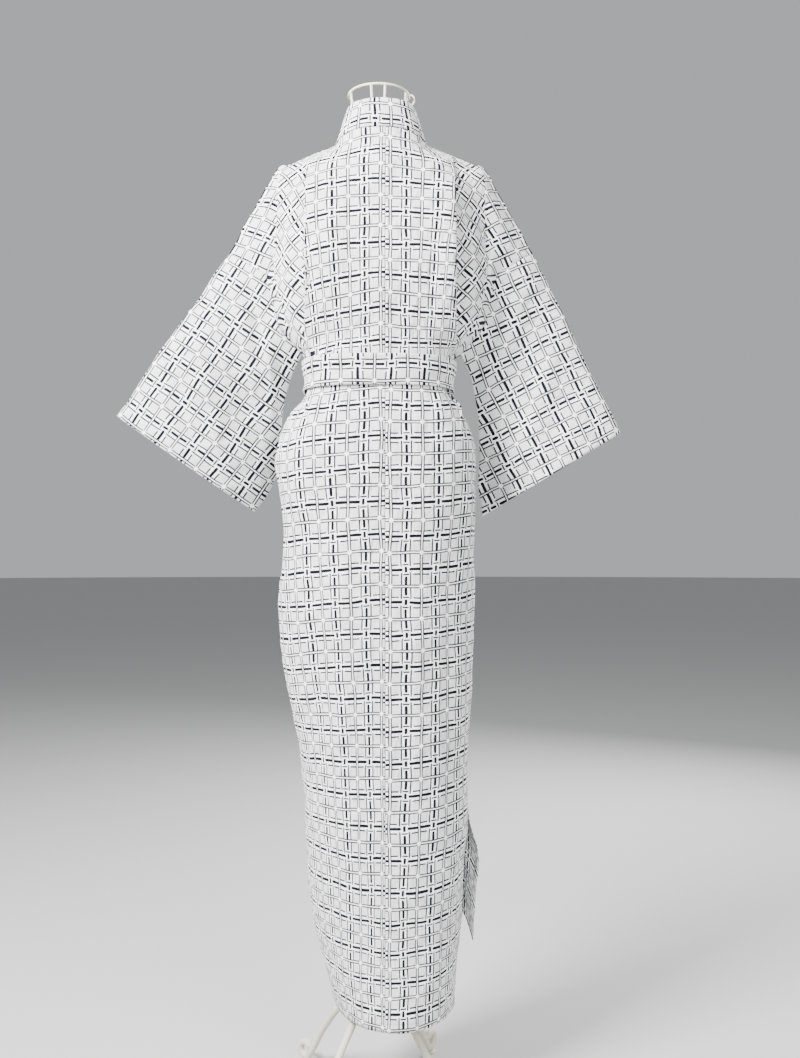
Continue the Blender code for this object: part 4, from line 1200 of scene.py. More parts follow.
def knot_relief(points, facing):
    x = points[:, 0] - CENTRE_X
    z = points[:, 2] - (BELT_TOP - KNOT_DROP)
    folds = np.sin((z + 0.35 * x) * 330) * np.exp(-((x / 0.020) ** 2))
    return 0.0007 * folds + rumple(points) * 0.4


def belt_end(name, lean):
    """One free end of the belt, hanging from under the knot."""
    aside, fallen = END_RUN
    top = knot_middle() + np.array([lean * END_APART, 0.0, -END_DROP])
    run = np.array([lean * aside, 0.0, -fallen])
    across = np.array([fallen, 0.0, lean * aside])
    rows = []
    for fall in np.linspace(-END_TUCKED, END_LENGTH, 46):
        forward = float(flow(fall, *zip(*END_BOW)))
        width = END_HALF_TOP + END_WIDENING * min(max(fall, 0) / END_FLARE, 1)
        middle = top + run * fall + np.array([0.0, forward + lean * END_LAYER, 0.0])
        s = np.linspace(-1, 1, 17)
        curl = 0.0012 * np.sin(s * 4 + lean) * (1 - fall * 4) + 0.0018 * np.sin(fall * 60) * s
        rows.append(middle + across * width * s[:, None] + np.outer(curl, [0.0, 1.0, 0.0]))
    points = np.array(rows)
    down = along(points, 0)
    walk = along(points, 1)
    uv = np.stack([walk - BELT_WARP * REPEAT, down + 0.3 * REPEAT], axis=-1)
    edge = np.stack([walk, walk[:, -1:] - walk], axis=-1)
    cloth = Cloth()
    cloth.grid(points, uv, edge, facing_out=True)
    return cloth_object(name, cloth, BAND_SHELL, band_relief)


# ---------------------------------------------------------------- wire and turned parts


def tube(points, radius, sides=14, closed=False):
    """Vertices and faces of a round rod through points. radius is one number or one a point."""
    points = np.array(points, float)
    count = len(points)
    radius = np.broadcast_to(np.asarray(radius, float), (count,))
    after = np.roll(points, -1, axis=0)
    before = np.roll(points, 1, axis=0)
    if not closed:
        after[-1] = points[-1]
        before[0] = points[0]
    run = after - before
    run /= np.linalg.norm(run, axis=1, keepdims=True)
    across = np.cross(run[0], [0.31, 0.84, 0.44])
    turn = np.linspace(0, 2 * math.pi, sides, endpoint=False)
    verts = []
    for place, ahead, size in zip(points, run, radius):
        across -= ahead * (across @ ahead)
        across /= np.linalg.norm(across)
        up = np.cross(ahead, across)
        verts.append(place + size * (np.outer(np.cos(turn), across) + np.outer(np.sin(turn), up)))
    verts = np.concatenate(verts)
    faces = []
    for k in range(count if closed else count - 1):
        here = k * sides
        there = (k + 1) % count * sides
        for s in range(sides):
            t = (s + 1) % sides
            faces.append([here + s, here + t, there + t, there + s])
    if not closed:
        faces.append(list(range(sides))[::-1])
        faces.append([(count - 1) * sides + s for s in range(sides)])
    return verts, faces


def ball(centre, radius, squash=1.0):
    """A small weld bead."""
    sides = BEAD_SIDES
    turn = np.linspace(0, 2 * math.pi, sides, endpoint=False)
    rise = np.linspace(-math.pi / 2, math.pi / 2, 9)[1:-1]
    rings = []
    for r in rise:
        height = 0 * turn + math.sin(r) * squash
        ring = [np.cos(turn) * math.cos(r), np.sin(turn) * math.cos(r), height]
        rings.append(np.stack(ring, axis=-1))
    verts = np.concatenate([*rings, [[0, 0, -squash], [0, 0, squash]]]) * radius + centre
    faces = []
    for k in range(len(rise) - 1):
        here = k * sides
        there = here + sides
        for s in range(sides):
            t = (s + 1) % sides
            faces.append([here + s, here + t, there + t, there + s])
    low = len(rise) * sides
    top = (len(rise) - 1) * sides
    for s in range(sides):
        t = (s + 1) % sides
        faces.append([low, t, s])
        faces.append([low + 1, top + s, top + t])
    return verts, faces


def lathe(profile, sides=48):
    """A turned part about the pole from a profile of (radius, height), closed at both ends."""
    turn = np.linspace(0, 2 * math.pi, sides, endpoint=False)
    verts = np.concatenate(
        [np.stack([r * np.sin(turn), r * np.cos(turn), 0 * turn + z], axis=-1) for r, z in profile]
    )
    faces = []
    for k in range(len(profile) - 1):
        here = k * sides
        there = here + sides
        for s in range(sides):
            t = (s + 1) % sides
            faces.append([here + s, there + s, there + t, here + t])
    faces.append(list(range(sides)))
    faces.append([(len(profile) - 1) * sides + s for s in range(sides)][::-1])
    return verts, faces


def metal_object(name, shapes):
    verts = []
    faces = []
    for points, sides in shapes:
        start = len(verts)
        verts += list(points)
        faces += [[v + start for v in face] for face in sides]
    mesh = bpy.data.meshes.new(name)
    mesh.from_pydata(np.array(verts) + SHIFT, [], faces)
    mesh.shade_smooth()
    mesh.set_sharp_from_angle(angle=math.radians(50))
    made = bpy.data.objects.new(name, mesh)
    bpy.context.scene.collection.objects.link(made)
    return made


def form_point(angle, z, out=0.0):
    """A point of the form. angle is measured from straight behind towards the wearer's left."""
    half_x, half_y = (float(at_height(FORM, name, z)) for name in ("half_x", "half_y"))
    return [(half_x + out) * math.sin(angle), (half_y + out) * math.cos(angle), z]


def rib_angles():
    left_half = [FIRST_RIB, SIDE_RIB, math.pi - SIDE_RIB, math.pi - FIRST_RIB]
    return left_half + [-angle for angle in reversed(left_half)]


def wire_ribs(name):
    shapes = []
    for angle in rib_angles():
        heights = np.linspace(NECK_RING_Z - 0.001, FORM[-1].z, 110)
        shapes.append(tube([form_point(angle, z) for z in heights], WIRE))
        top = form_point(angle, FORM[0].z)
        shapes.append(ball(np.array([top[0], top[1], NECK_RING_Z - 0.0012]), WIRE * 1.35))
    return metal_object(name, shapes)


def wire_hoops(name):
    shapes = []
    angles = np.linspace(0, 2 * math.pi, 96, endpoint=False)
    for z in HOOPS.values():
        hoop = [form_point(a, z, 2 * WIRE + HOOP_CLEAR) for a in angles]
        shapes.append(tube(hoop, WIRE, closed=True))
    return metal_object(name, shapes)


def neck_ring(name):
    angles = np.linspace(0, 2 * math.pi, 120, endpoint=False)
    top = FORM[0]
    ring = [(top.half_x * math.sin(a), top.half_y * math.cos(a), NECK_RING_Z) for a in angles]
    return metal_object(name, [tube(ring, WIRE, closed=True)])


def hook(name):
    """The small wire hook at the neck ring's end."""
    knots = np.array([[-(FORM[0].half_x + x), 0.0, NECK_RING_Z + z] for x, z in HOOK])
    path = catmull(knots, np.linspace(0, len(knots) - 1, 60))
    return metal_object(name, [tube(path, HOOK_WIRE, sides=12), ball(path[-1], HOOK_WIRE * 1.1)])


def leg_path(angle):
    """A leg's middle line: an S down from the hub, a foot, and a scroll that turns up and out."""
    knots = [np.array(p) for p in LEG]
    for degrees in range(-130, 151, 28):
        turn = math.radians(degrees)
        away = SCROLL_RADIUS * np.array([math.cos(turn), math.sin(turn)])
        knots.append(np.array(SCROLL_CENTRE) + away)
    flat = catmull(np.array(knots), np.linspace(0, len(knots) - 1, (len(knots) - 1) * 9 + 1))
    return [(r * math.sin(angle), r * math.cos(angle), z) for r, z in flat]


def legs(name):
    shapes = []
    for angle in LEG_ANGLES:
        path = leg_path(angle)
        shapes.append(tube(path, LEG_RADIUS, sides=18))
        shapes.append(ball(np.array(path[0]), LEG_RADIUS * 1.3, 1.4))
    return metal_object(name, shapes)


def pads(name):
    verts, faces = lathe(PAD_PROFILE, PAD_SIDES)
    reach = SCROLL_CENTRE[0]
    shapes = []
    for angle in LEG_ANGLES:
        shapes.append((verts + [reach * math.sin(angle), reach * math.cos(angle), 0.0], faces))
    return metal_object(name, shapes)


def centre_post(name):
    """The pole, its hub with rounded rims, and the four spokes."""
    top = HUB_Z - STAND_GAP
    low = top - HUB_HEIGHT
    hub = [
        (HUB_RADIUS - HUB_RIM, low),
        (HUB_RADIUS - HUB_ROUND, low + HUB_ROUND),
        (HUB_RADIUS, low + HUB_RIM),
        (HUB_RADIUS, HUB_Z - HUB_RIM),
        (HUB_RADIUS - HUB_ROUND, top - HUB_ROUND),
        (HUB_RADIUS - HUB_RIM, top),
    ]
    pole = [(POLE_RADIUS, HUB_Z), (POLE_RADIUS, POLE_TOP - 0.003), (POLE_RADIUS - 0.002, POLE_TOP)]
    shapes = [lathe(hub), lathe(pole)]
    for angle in LEG_ANGLES:
        ends = [POLE_RADIUS + STAND_GAP, SPOKE_REACH]
        path = [(r * math.sin(angle), r * math.cos(angle), SPOKE_Z) for r in np.linspace(*ends, 12)]
        shapes.append(tube(path, WIRE))
    return metal_object(name, shapes)


# ---------------------------------------------------------------- shader building


def new_node(tree, kind):
    """A new node in the next place of a layout in columns of six."""
    made = tree.nodes.new(kind)
    made.location = (190 * (len(tree.nodes) // 6), -170 * (len(tree.nodes) % 6))
    return made


def give(tree, socket, feed):
    """Feeds an input from another node's output, or with a value. None leaves it alone."""
    if isinstance(feed, bpy.types.NodeSocket):
        tree.links.new(feed, socket)
    elif feed is not None:
        socket.default_value = feed


def wire_up(tree, kind, *feeds, out=0, **options):
    """Adds a node, feeds its inputs in order with sockets or values, and returns one output."""
    made = new_node(tree, kind)
    for key, value in options.items():
        setattr(made, key, value)
    for socket, feed in zip(made.inputs, feeds):
        give(tree, socket, feed)
    return made.outputs[out]


def maths(tree, operation, *feeds):
    return wire_up(tree, "ShaderNodeMath", *feeds, operation=operation)


def vectors(tree, operation, *feeds):
    return wire_up(tree, "ShaderNodeVectorMath", *feeds, operation=operation)


def blend_colours(tree, share, first, second):
    made = new_node(tree, "ShaderNodeMix")
    made.data_type = "RGBA"
    # the node keeps its sockets for numbers and vectors before those for colours
    for place, feed in ((0, share), (6, first), (7, second)):
        give(tree, made.inputs[place], feed)
    return made.outputs[2]


def new_group(name, inputs, outputs):
    """A shader node group with its named sockets: its tree, input sockets and output sockets."""
    tree = bpy.data.node_groups.new(name, "ShaderNodeTree")
    for label, kind, default in inputs:
        socket = tree.interface.new_socket(label, in_out="INPUT", socket_type=f"NodeSocket{kind}")
        if default is not None:
            socket.default_value = default
    for label, kind in outputs:
        tree.interface.new_socket(label, in_out="OUTPUT", socket_type=f"NodeSocket{kind}")
    return tree, tree.nodes.new("NodeGroupInput").outputs, tree.nodes.new("NodeGroupOutput").inputs


def place_group(tree, name, **feeds):
    """Places a group in a tree. Its inputs are named in lower case with underscores."""
    made = new_node(tree, "ShaderNodeGroup")
    made.node_tree = bpy.data.node_groups[name]
    for socket in made.inputs:
        give(tree, socket, feeds.get(socket.name.lower().replace(" ", "_")))
    return made.outputs


def dash_group():
    """One round-ended dash of the check, within the quarter of a repeat next to a crossing."""
    tree, inp, out = new_group(
        "Dash",
        [
            ("Across", "Float", 0.0),
            ("Along", "Float", 0.0),
            ("Offset", "Float", 0.0),
            ("Start", "Float", 0.0),
            ("End", "Float", 0.5),
            ("Half width", "Float", 0.03),
        ],
        [("Mask", "Float")],
    )
    sideways = maths(tree, "SUBTRACT", inp["Across"], inp["Offset"])
    middle = maths(tree, "MULTIPLY", maths(tree, "ADD", inp["Start"], inp["End"]), 0.5)
    half = maths(tree, "MULTIPLY", maths(tree, "SUBTRACT", inp["End"], inp["Start"]), 0.5)
    straight = maths(tree, "SUBTRACT", half, inp["Half width"])
    off_middle = maths(tree, "ABSOLUTE", maths(tree, "SUBTRACT", inp["Along"], middle))
    beyond = maths(tree, "MAXIMUM", maths(tree, "SUBTRACT", off_middle, straight), 0.0)
    end = maths(tree, "POWER", beyond, 2.0)
    squares = maths(tree, "ADD", end, maths(tree, "MULTIPLY", sideways, sideways))
    distance = maths(tree, "SUBTRACT", inp["Half width"], maths(tree, "SQRT", squares))
    soft = wire_up(tree, "ShaderNodeMapRange", distance, -0.004, 0.004, 0.0, 1.0)
    tree.links.new(soft, out["Mask"])


# Each dash: which way it runs, how far off the crossing's line, start, end and half width, all
# in repeats from the crossing of the dark lines.
Dash = namedtuple("Dash", "along offset start end half_width")
DARK_DASHES = [
    Dash("warp", 0.0, -0.092, 0.094, 0.046),
    Dash("warp", 0.0, 0.200, 0.467, 0.046),
    Dash("weft", 0.0, 0.098, 0.467, 0.046),
]
MID_DASHES = [
    Dash("warp", 0.147, 0.085, 0.467, 0.025),
    Dash("weft", 0.150, -0.100, 0.104, 0.025),
    Dash("weft", 0.150, 0.220, 0.467, 0.025),
]
PALE_DASHES = [
    Dash("warp", 0.463, -0.445, 0.445, 0.022),
    Dash("weft", 0.463, -0.445, 0.445, 0.022),
]


def check_group():
    """The woven check: dark dashes, mid lines beside them, and pale double lines half way."""
    tree, inp, out = new_group(
        "Woven check",
        [
            ("Cloth", "Vector", None),
            ("Repeat", "Float", REPEAT),
            ("Ground", "Color", (0.70, 0.70, 0.70, 1)),
            ("Band", "Color", (0.80, 0.80, 0.80, 1)),
            ("Dark", "Color", (0.026, 0.026, 0.036, 1)),
            ("Mid", "Color", (0.26, 0.26, 0.28, 1)),
            ("Pale", "Color", (0.34, 0.34, 0.36, 1)),
        ],
        [("Color", "Color"), ("Dyed", "Float")],
    )
    moved = inp["Cloth"]
    # a fine jitter of the threads, then a wide swing of the whole line
    for scale, detail, reach in ((260.0, 1.0, 0.0005), (15.0, 1.5, 0.008)):
        drift = wire_up(tree, "ShaderNodeTexNoise", inp["Cloth"], None, scale, detail, 0.5, out=1)
        centred = vectors(tree, "SUBTRACT", drift, (0.5, 0.5, 0.5))
        moved = vectors(tree, "ADD", moved, vectors(tree, "MULTIPLY", centred, (reach, reach, 0.0)))
    apart = tree.nodes.new("ShaderNodeSeparateXYZ")
    tree.links.new(moved, apart.inputs[0])
    a, b = (
        maths(tree, "PINGPONG", maths(tree, "DIVIDE", apart.outputs[k], inp["Repeat"]), 0.5)
        for k in (0, 1)
    )

    def union(dashes):
        total = 0.0
        for dash in dashes:
            across, length = (a, b) if dash.along == "warp" else (b, a)
            mask = place_group(
                tree,
                "Dash",
                across=across,
                along=length,
                offset=dash.offset,
                start=dash.start,
                end=dash.end,
                half_width=dash.half_width,
            )["Mask"]
            total = maths(tree, "MAXIMUM", mask, total)
        return total

    near = maths(tree, "MINIMUM", a, b)
    far = maths(tree, "MAXIMUM", a, b)
    beside = maths(tree, "LESS_THAN", near, 0.148)
    half_way = maths(tree, "GREATER_THAN", far, 0.468)
    banded = maths(tree, "MAXIMUM", beside, half_way)
    colour = blend_colours(tree, banded, inp["Ground"], inp["Band"])
    dark = union(DARK_DASHES)
    colour = blend_colours(tree, union(PALE_DASHES), colour, inp["Pale"])
    colour = blend_colours(tree, union(MID_DASHES), colour, inp["Mid"])
    colour = blend_colours(tree, dark, colour, inp["Dark"])
    tree.links.new(colour, out["Color"])
    tree.links.new(dark, out["Dyed"])


def weave_group():
    """Plain weave with slubs: threads over and under each other, of uneven thickness. Its Shade is
    random tone from the slubs and painted shade in the gaps between the threads.
    """
    tree, inp, out = new_group(
        "Plain weave",
        [("Cloth", "Vector", None), ("Thread", "Float", THREAD), ("Slub", "Float", 0.08)],
        [("Shade", "Float"), ("Height", "Float")],
    )
    apart = tree.nodes.new("ShaderNodeSeparateXYZ")
    tree.links.new(inp["Cloth"], apart.inputs[0])
    turns = maths(tree, "DIVIDE", math.pi, inp["Thread"])
    x, y = (maths(tree, "MULTIPLY", apart.outputs[k], turns) for k in (0, 1))
    over = maths(tree, "MULTIPLY", maths(tree, "SINE", x), maths(tree, "SINE", y))
    share = wire_up(tree, "ShaderNodeMapRange", over, -0.4, 0.4, 0.0, 1.0)
    warp = maths(tree, "MULTIPLY", maths(tree, "ABSOLUTE", maths(tree, "SINE", x)), share)
    rest = maths(tree, "SUBTRACT", 1.0, share)
    weft = maths(tree, "MULTIPLY", maths(tree, "ABSOLUTE", maths(tree, "SINE", y)), rest)
    height = maths(tree, "ADD", warp, weft)
    uneven = []
    for stretch in ((900.0, 40.0, 1.0), (40.0, 900.0, 1.0)):
        pulled = vectors(tree, "MULTIPLY", inp["Cloth"], stretch)
        uneven.append(wire_up(tree, "ShaderNodeTexNoise", pulled, None, 1.0, 2.0, 0.6))
    slub = maths(tree, "SUBTRACT", maths(tree, "ADD", *uneven), 1.0)
    darker = maths(tree, "MULTIPLY", slub, inp["Slub"])
    # painted shade: the colour is made darker in the gaps between the threads
    gap_shade = maths(tree, "MULTIPLY", maths(tree, "SUBTRACT", height, 1.0), 0.06)
    tree.links.new(maths(tree, "ADD", maths(tree, "ADD", 1.0, darker), gap_shade), out["Shade"])
    tree.links.new(maths(tree, "ADD", height, slub), out["Height"])


def rumple_group():
    """Fine soft creases left by washing and wearing."""
    tree, inp, out = new_group(
        "Washed creases",
        [("Cloth", "Vector", None), ("Size", "Float", 0.03), ("Amount", "Float", 1.0)],
        [("Height", "Float")],
    )
    scale = maths(tree, "DIVIDE", 1.0, inp["Size"])
    soft = wire_up(tree, "ShaderNodeTexNoise", inp["Cloth"], None, scale, 3.0, 0.5, 2.0, 0.4)
    stretched = vectors(tree, "MULTIPLY", inp["Cloth"], (1.6, 0.55, 1.0))
    folds = wire_up(tree, "ShaderNodeTexNoise", stretched, None, scale, 2.0, 0.5, 2.0, 0.9)
    ridge = maths(tree, "ABSOLUTE", maths(tree, "SUBTRACT", folds, 0.5))
    total = maths(tree, "SUBTRACT", soft, maths(tree, "MULTIPLY", ridge, 0.8))
    tree.links.new(maths(tree, "MULTIPLY", total, inp["Amount"]), out["Height"])


def seam_group():
    """A sewn line parallel to an edge: a shallow groove with small even stitches in it. Its Shade
    darkens the colour in the groove as painted shade and makes the stitches a little lighter.
    """
    tree, inp, out = new_group(
        "Sewn line",
        [
            ("Distance", "Float", 0.0),
            ("Along", "Float", 0.0),
            ("Offset", "Float", 0.003),
            ("Stitch", "Float", 0.005),
        ],
        [("Shade", "Float"), ("Height", "Float")],
    )
    off = maths(tree, "ABSOLUTE", maths(tree, "SUBTRACT", inp["Distance"], inp["Offset"]))
    groove = wire_up(tree, "ShaderNodeMapRange", off, 0.0002, 0.0016, 1.0, 0.0)
    thread = wire_up(tree, "ShaderNodeMapRange", off, 0.0002, 0.0005, 1.0, 0.0)
    place = maths(tree, "FRACT", maths(tree, "DIVIDE", inp["Along"], inp["Stitch"]))
    run = maths(tree, "GREATER_THAN", place, 0.35)
    stitch = maths(tree, "MULTIPLY", thread, run)
    # painted shade: the colour up to a tenth darker in the groove; the stitches are made a little
    # lighter
    shade = maths(tree, "SUBTRACT", 1.0, maths(tree, "MULTIPLY", groove, 0.10))
    tree.links.new(maths(tree, "ADD", shade, maths(tree, "MULTIPLY", stitch, 0.06)), out["Shade"])
    height = maths(tree, "SUBTRACT", maths(tree, "MULTIPLY", stitch, 0.6), groove)
    tree.links.new(height, out["Height"])


def wear_group():
    """Aged enamel: cloudy tone and small rubbed patches."""
    tree, inp, out = new_group(
        "Aged enamel",
        [
            ("Place", "Vector", None),
            ("Enamel", "Color", (0.70, 0.66, 0.54, 1)),
            ("Rubbed", "Color", (0.30, 0.25, 0.16, 1)),
            ("Cloud", "Float", 0.25),
            ("Chips", "Float", 0.5),
        ],
        [("Color", "Color"), ("Roughness", "Float"), ("Height", "Float")],
    )
    cloud = wire_up(tree, "ShaderNodeTexNoise", inp["Place"], None, 34.0, 3.0, 0.6)
    grain = wire_up(tree, "ShaderNodeTexNoise", inp["Place"], None, 420.0, 3.0, 0.6)
    toned = blend_colours(
        tree, maths(tree, "MULTIPLY", cloud, inp["Cloud"]), inp["Enamel"], inp["Rubbed"]
    )
    limit = maths(tree, "SUBTRACT", 0.76, maths(tree, "MULTIPLY", inp["Chips"], 0.12))
    mottled = (maths(tree, "MULTIPLY", cloud, 0.4), maths(tree, "MULTIPLY", grain, 0.6))
    worn = maths(tree, "ADD", *mottled)
    full = maths(tree, "ADD", limit, 0.04)
    chip = wire_up(tree, "ShaderNodeMapRange", worn, limit, full, 0.0, 1.0)
    tree.links.new(blend_colours(tree, chip, toned, inp["Rubbed"]), out["Color"])
    rough = maths(tree, "ADD", 0.42, maths(tree, "MULTIPLY", grain, 0.24))
    tree.links.new(rough, out["Roughness"])
    height = maths(tree, "SUBTRACT", maths(tree, "MULTIPLY", grain, 0.3), chip)
    tree.links.new(height, out["Height"])


def shader_of(name):
    """A new material with its tree and its Principled BSDF."""
    made = bpy.data.materials.new(name)
    made.use_nodes = True
    tree = made.node_tree
    return made, tree, tree.nodes["Principled BSDF"]


def cotton_material(name, settings, sewn=(), creases=1.0):
    """Checked cotton. sewn lists the stitched lines, as which edge (0 or 1) and how far in."""
    made, tree, shader = shader_of(name)
    cloth = tree.nodes.new("ShaderNodeUVMap")
    cloth.uv_map = "Cloth"
    edges = tree.nodes.new("ShaderNodeUVMap")
    edges.uv_map = "Edges"
    apart = tree.nodes.new("ShaderNodeSeparateXYZ")
    tree.links.new(edges.outputs[0], apart.inputs[0])
    cloth = cloth.outputs[0]
    check = place_group(
        tree,
        "Woven check",
        cloth=cloth,
        repeat=settings.check_repeat,
        ground=(*settings.ground_colour, 1),
        band=(*settings.band_colour, 1),
        dark=(*settings.dark_colour, 1),
        mid=(*settings.mid_colour, 1),
        pale=(*settings.pale_colour, 1),
    )
    weave = place_group(tree, "Plain weave", cloth=cloth, thread=THREAD, slub=0.10)
    rumpled = place_group(tree, "Washed creases", cloth=cloth, size=0.032, amount=creases)
    shade = weave["Shade"]
    height = maths(tree, "MULTIPLY", rumpled["Height"], settings.crease_depth)
    for edge, offset in sewn:
        line = place_group(
            tree,
            "Sewn line",
            distance=apart.outputs[edge],
            along=apart.outputs[1 - edge],
            offset=offset,
            stitch=STITCH,
        )
        shade = maths(tree, "MULTIPLY", shade, line["Shade"])
        height = maths(tree, "ADD", height, maths(tree, "MULTIPLY", line["Height"], 0.0004))
    height = maths(tree, "ADD", height, maths(tree, "MULTIPLY", weave["Height"], 0.00005))
    # the check's colour scaled by Shade: random slub tone, and painted shade in the gaps between
    # threads and in the sewn lines' grooves
    shaded_check = new_node(tree, "ShaderNodeVectorMath")
    shaded_check.operation = "SCALE"
    give(tree, shaded_check.inputs[0], check["Color"])
    give(tree, shaded_check.inputs["Scale"], shade)
    tree.links.new(shaded_check.outputs[0], shader.inputs["Base Color"])
    rough = maths(tree, "SUBTRACT", 0.94, maths(tree, "MULTIPLY", check["Dyed"], 0.06))
    tree.links.new(rough, shader.inputs["Roughness"])
    bump = tree.nodes.new("ShaderNodeBump")
    bump.inputs["Strength"].default_value = 1.0
    bump.inputs["Distance"].default_value = 1.0
    tree.links.new(height, bump.inputs["Height"])
    tree.links.new(bump.outputs[0], shader.inputs["Normal"])
    shader.inputs["Sheen Weight"].default_value = 0.02
    shader.inputs["Sheen Roughness"].default_value = 0.6
    shader.inputs["Specular IOR Level"].default_value = 0.08
    return made


def enamel_material(name, colour, rubbed, cloud, chips):
    made, tree, shader = shader_of(name)
    place = tree.nodes.new("ShaderNodeTexCoord").outputs["Object"]
    aged = place_group(
        tree,
        "Aged enamel",
        place=place,
        enamel=(*colour, 1),
        rubbed=(*rubbed, 1),
        cloud=cloud,
        chips=chips,
    )
    tree.links.new(aged["Color"], shader.inputs["Base Color"])
    tree.links.new(aged["Roughness"], shader.inputs["Roughness"])
    bump = tree.nodes.new("ShaderNodeBump")
    bump.inputs["Distance"].default_value = 0.0004
    tree.links.new(aged["Height"], bump.inputs["Height"])
    tree.links.new(bump.outputs[0], shader.inputs["Normal"])
    return made


def build_groups():
    for name, build in (
        ("Dash", dash_group),
        ("Woven check", check_group),
        ("Plain weave", weave_group),
        ("Washed creases", rumple_group),
        ("Sewn line", seam_group),
        ("Aged enamel", wear_group),
    ):
        if name not in bpy.data.node_groups:
            build()


# ---------------------------------------------------------------- the add-on


def tint(name, description, default):
    return bpy.props.FloatVectorProperty(
        name=name, description=description, subtype="COLOR", default=default, min=0.0, max=1.0
    )


class YukataSettings(bpy.types.PropertyGroup):
    """Sizes and colours of the robe."""

    check_repeat: bpy.props.FloatProperty(
        name="Check repeat",
        description="From one dark line of the check to the next",
        default=REPEAT,
        min=0.01,
        unit="LENGTH",
    )
    crease_depth: bpy.props.FloatProperty(
        name="Crease depth",
        description="Height of the fine washed creases",
        default=0.0060,
        min=0.0,
        unit="LENGTH",
    )
    ground_colour: tint("Ground", "The cloth's plain squares", (0.66, 0.66, 0.67))
    band_colour: tint("Bands", "The whiter bands beside the dark lines", (0.93, 0.93, 0.93))
    dark_colour: tint("Dark dashes", "The indigo-black dashes of the check", (0.004, 0.004, 0.008))
    mid_colour: tint("Mid lines", "The thin lines beside the dark dashes", (0.020, 0.020, 0.025))
    pale_colour: tint(
        "Pale lines", "The double lines half way between the dark ones", (0.045, 0.045, 0.050)
    )


class StandSettings(bpy.types.PropertyGroup):
    """Colours of the form and its legs."""

    wire_colour: tint("Wire", "The enamel of the form's wires", (0.72, 0.69, 0.56))
    leg_colour: tint("Legs", "The older, greyer enamel of the legs", (0.58, 0.56, 0.46))
    rubbed_colour: tint("Rubbed", "Where the enamel is stained or rubbed", (0.26, 0.21, 0.12))


def finish_sheet(piece, node, material, flat, area, held, rests_on, slot="cotton"):
    piece.data.materials.append(material)
    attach(piece, "root")
    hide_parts(node)


def finish_metal(piece, nodes, material):
    piece.data.materials.append(material)
    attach(piece, "root")
    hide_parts(*nodes)


SIDES = (("left", 1), ("right", -1))


class YUKATA_OT_body(bpy.types.Operator):
    """Hang the two body panels over the form's shoulders"""

    bl_idname = "yukata.body"
    bl_label = "Body panels"

    def execute(self, context):
        build_groups()
        cloth = cotton_material("Body cotton", context.scene.yukata, sewn=((1, 0.012),))
        for which, side in SIDES:
            piece = body_panel(f"Body_{which}", side)
            finish_sheet(
                piece, f"body_{which}", cloth, *BODY_CUT, "draped", ["rib_1", "rib_2", "rib_8"]
            )
        return {"FINISHED"}


class YUKATA_OT_okumi(bpy.types.Operator):
    """Sew the two overlap strips to the fronts"""

    bl_idname = "yukata.okumi"
    bl_label = "Overlap strips"

    def execute(self, context):
        build_groups()
        cloth = cotton_material("Okumi cotton", context.scene.yukata, sewn=((0, 0.008), (1, 0.012)))
        for which, side in SIDES:
            piece = okumi(f"Okumi_{which}", side)
            on = [f"Body_{which}"]
            finish_sheet(piece, f"okumi_{which}", cloth, *OKUMI_CUTS[side], "hung", on)
        return {"FINISHED"}


class YUKATA_OT_sleeves(bpy.types.Operator):
    """Set the two tube sleeves into the armholes"""

    bl_idname = "yukata.sleeves"
    bl_label = "Sleeves"

    def execute(self, context):
        build_groups()
        sewn = ((0, 0.0035), (0, 0.0100))
        cloth = cotton_material("Sleeve cotton", context.scene.yukata, sewn=sewn)
        for which, side in SIDES:
            piece = sleeve(f"Sleeve_{which}", side)
            finish_sheet(piece, f"sleeve_{which}", cloth, *SLEEVE_CUT, "hung", [f"Body_{which}"])
        return {"FINISHED"}


class YUKATA_OT_collar(bpy.types.Operator):
    """Sew the collar band round the neck and down both fronts"""

    bl_idname = "yukata.collar"
    bl_label = "Collar"

    def execute(self, context):
        build_groups()
        cloth = cotton_material("Collar cotton", context.scene.yukata, creases=0.5)
        piece = collar("Collar")
        finish_sheet(piece, "collar", cloth, *COLLAR_CUT, "draped", ["Body_left", "Body_right"])
        return {"FINISHED"}


class YUKATA_OT_belt(bpy.types.Operator):
    """Tie the narrow belt, its knot and its two ends"""

    bl_idname = "yukata.belt"
    bl_label = "Belt"

    def execute(self, context):
        build_groups()
        cloth = cotton_material("Belt cotton", context.scene.yukata, creases=0.6)
        on = ["Body_left", "Body_right"]
        piece = belt("Belt")
        finish_sheet(piece, "belt", cloth, *BELT_CUT, "stretched", on, "belt_cotton")
        piece = belt_knot("Belt_knot")
        finish_sheet(piece, "belt_knot", cloth, *KNOT_CUT, "folded", ["Belt"], "belt_cotton")
        for which, side in SIDES:
            piece = belt_end(f"Belt_end_{which}", side)
            finish_sheet(
                piece, f"belt_end_{which}", cloth, *END_CUT, "hung", ["Belt_knot"], "belt_cotton"
            )
        return {"FINISHED"}


class YUKATA_OT_form(bpy.types.Operator):
    """Bend the form's wires: its neck ring, hook, ribs and hoops"""

    bl_idname = "yukata.form"
    bl_label = "Wire form"

    def execute(self, context):
        build_groups()
        look = context.scene.yukata_stand
        wire = enamel_material("Wire enamel", look.wire_colour, look.rubbed_colour, 0.16, 0.35)
        finish_metal(neck_ring("Neck_ring"), ["neck_ring"], wire)
        finish_metal(hook("Hook"), ["hook"], wire)
        finish_metal(wire_ribs("Ribs"), [f"rib_{k}" for k in range(1, 9)], wire)
        finish_metal(wire_hoops("Hoops"), list(HOOPS), wire)
        return {"FINISHED"}


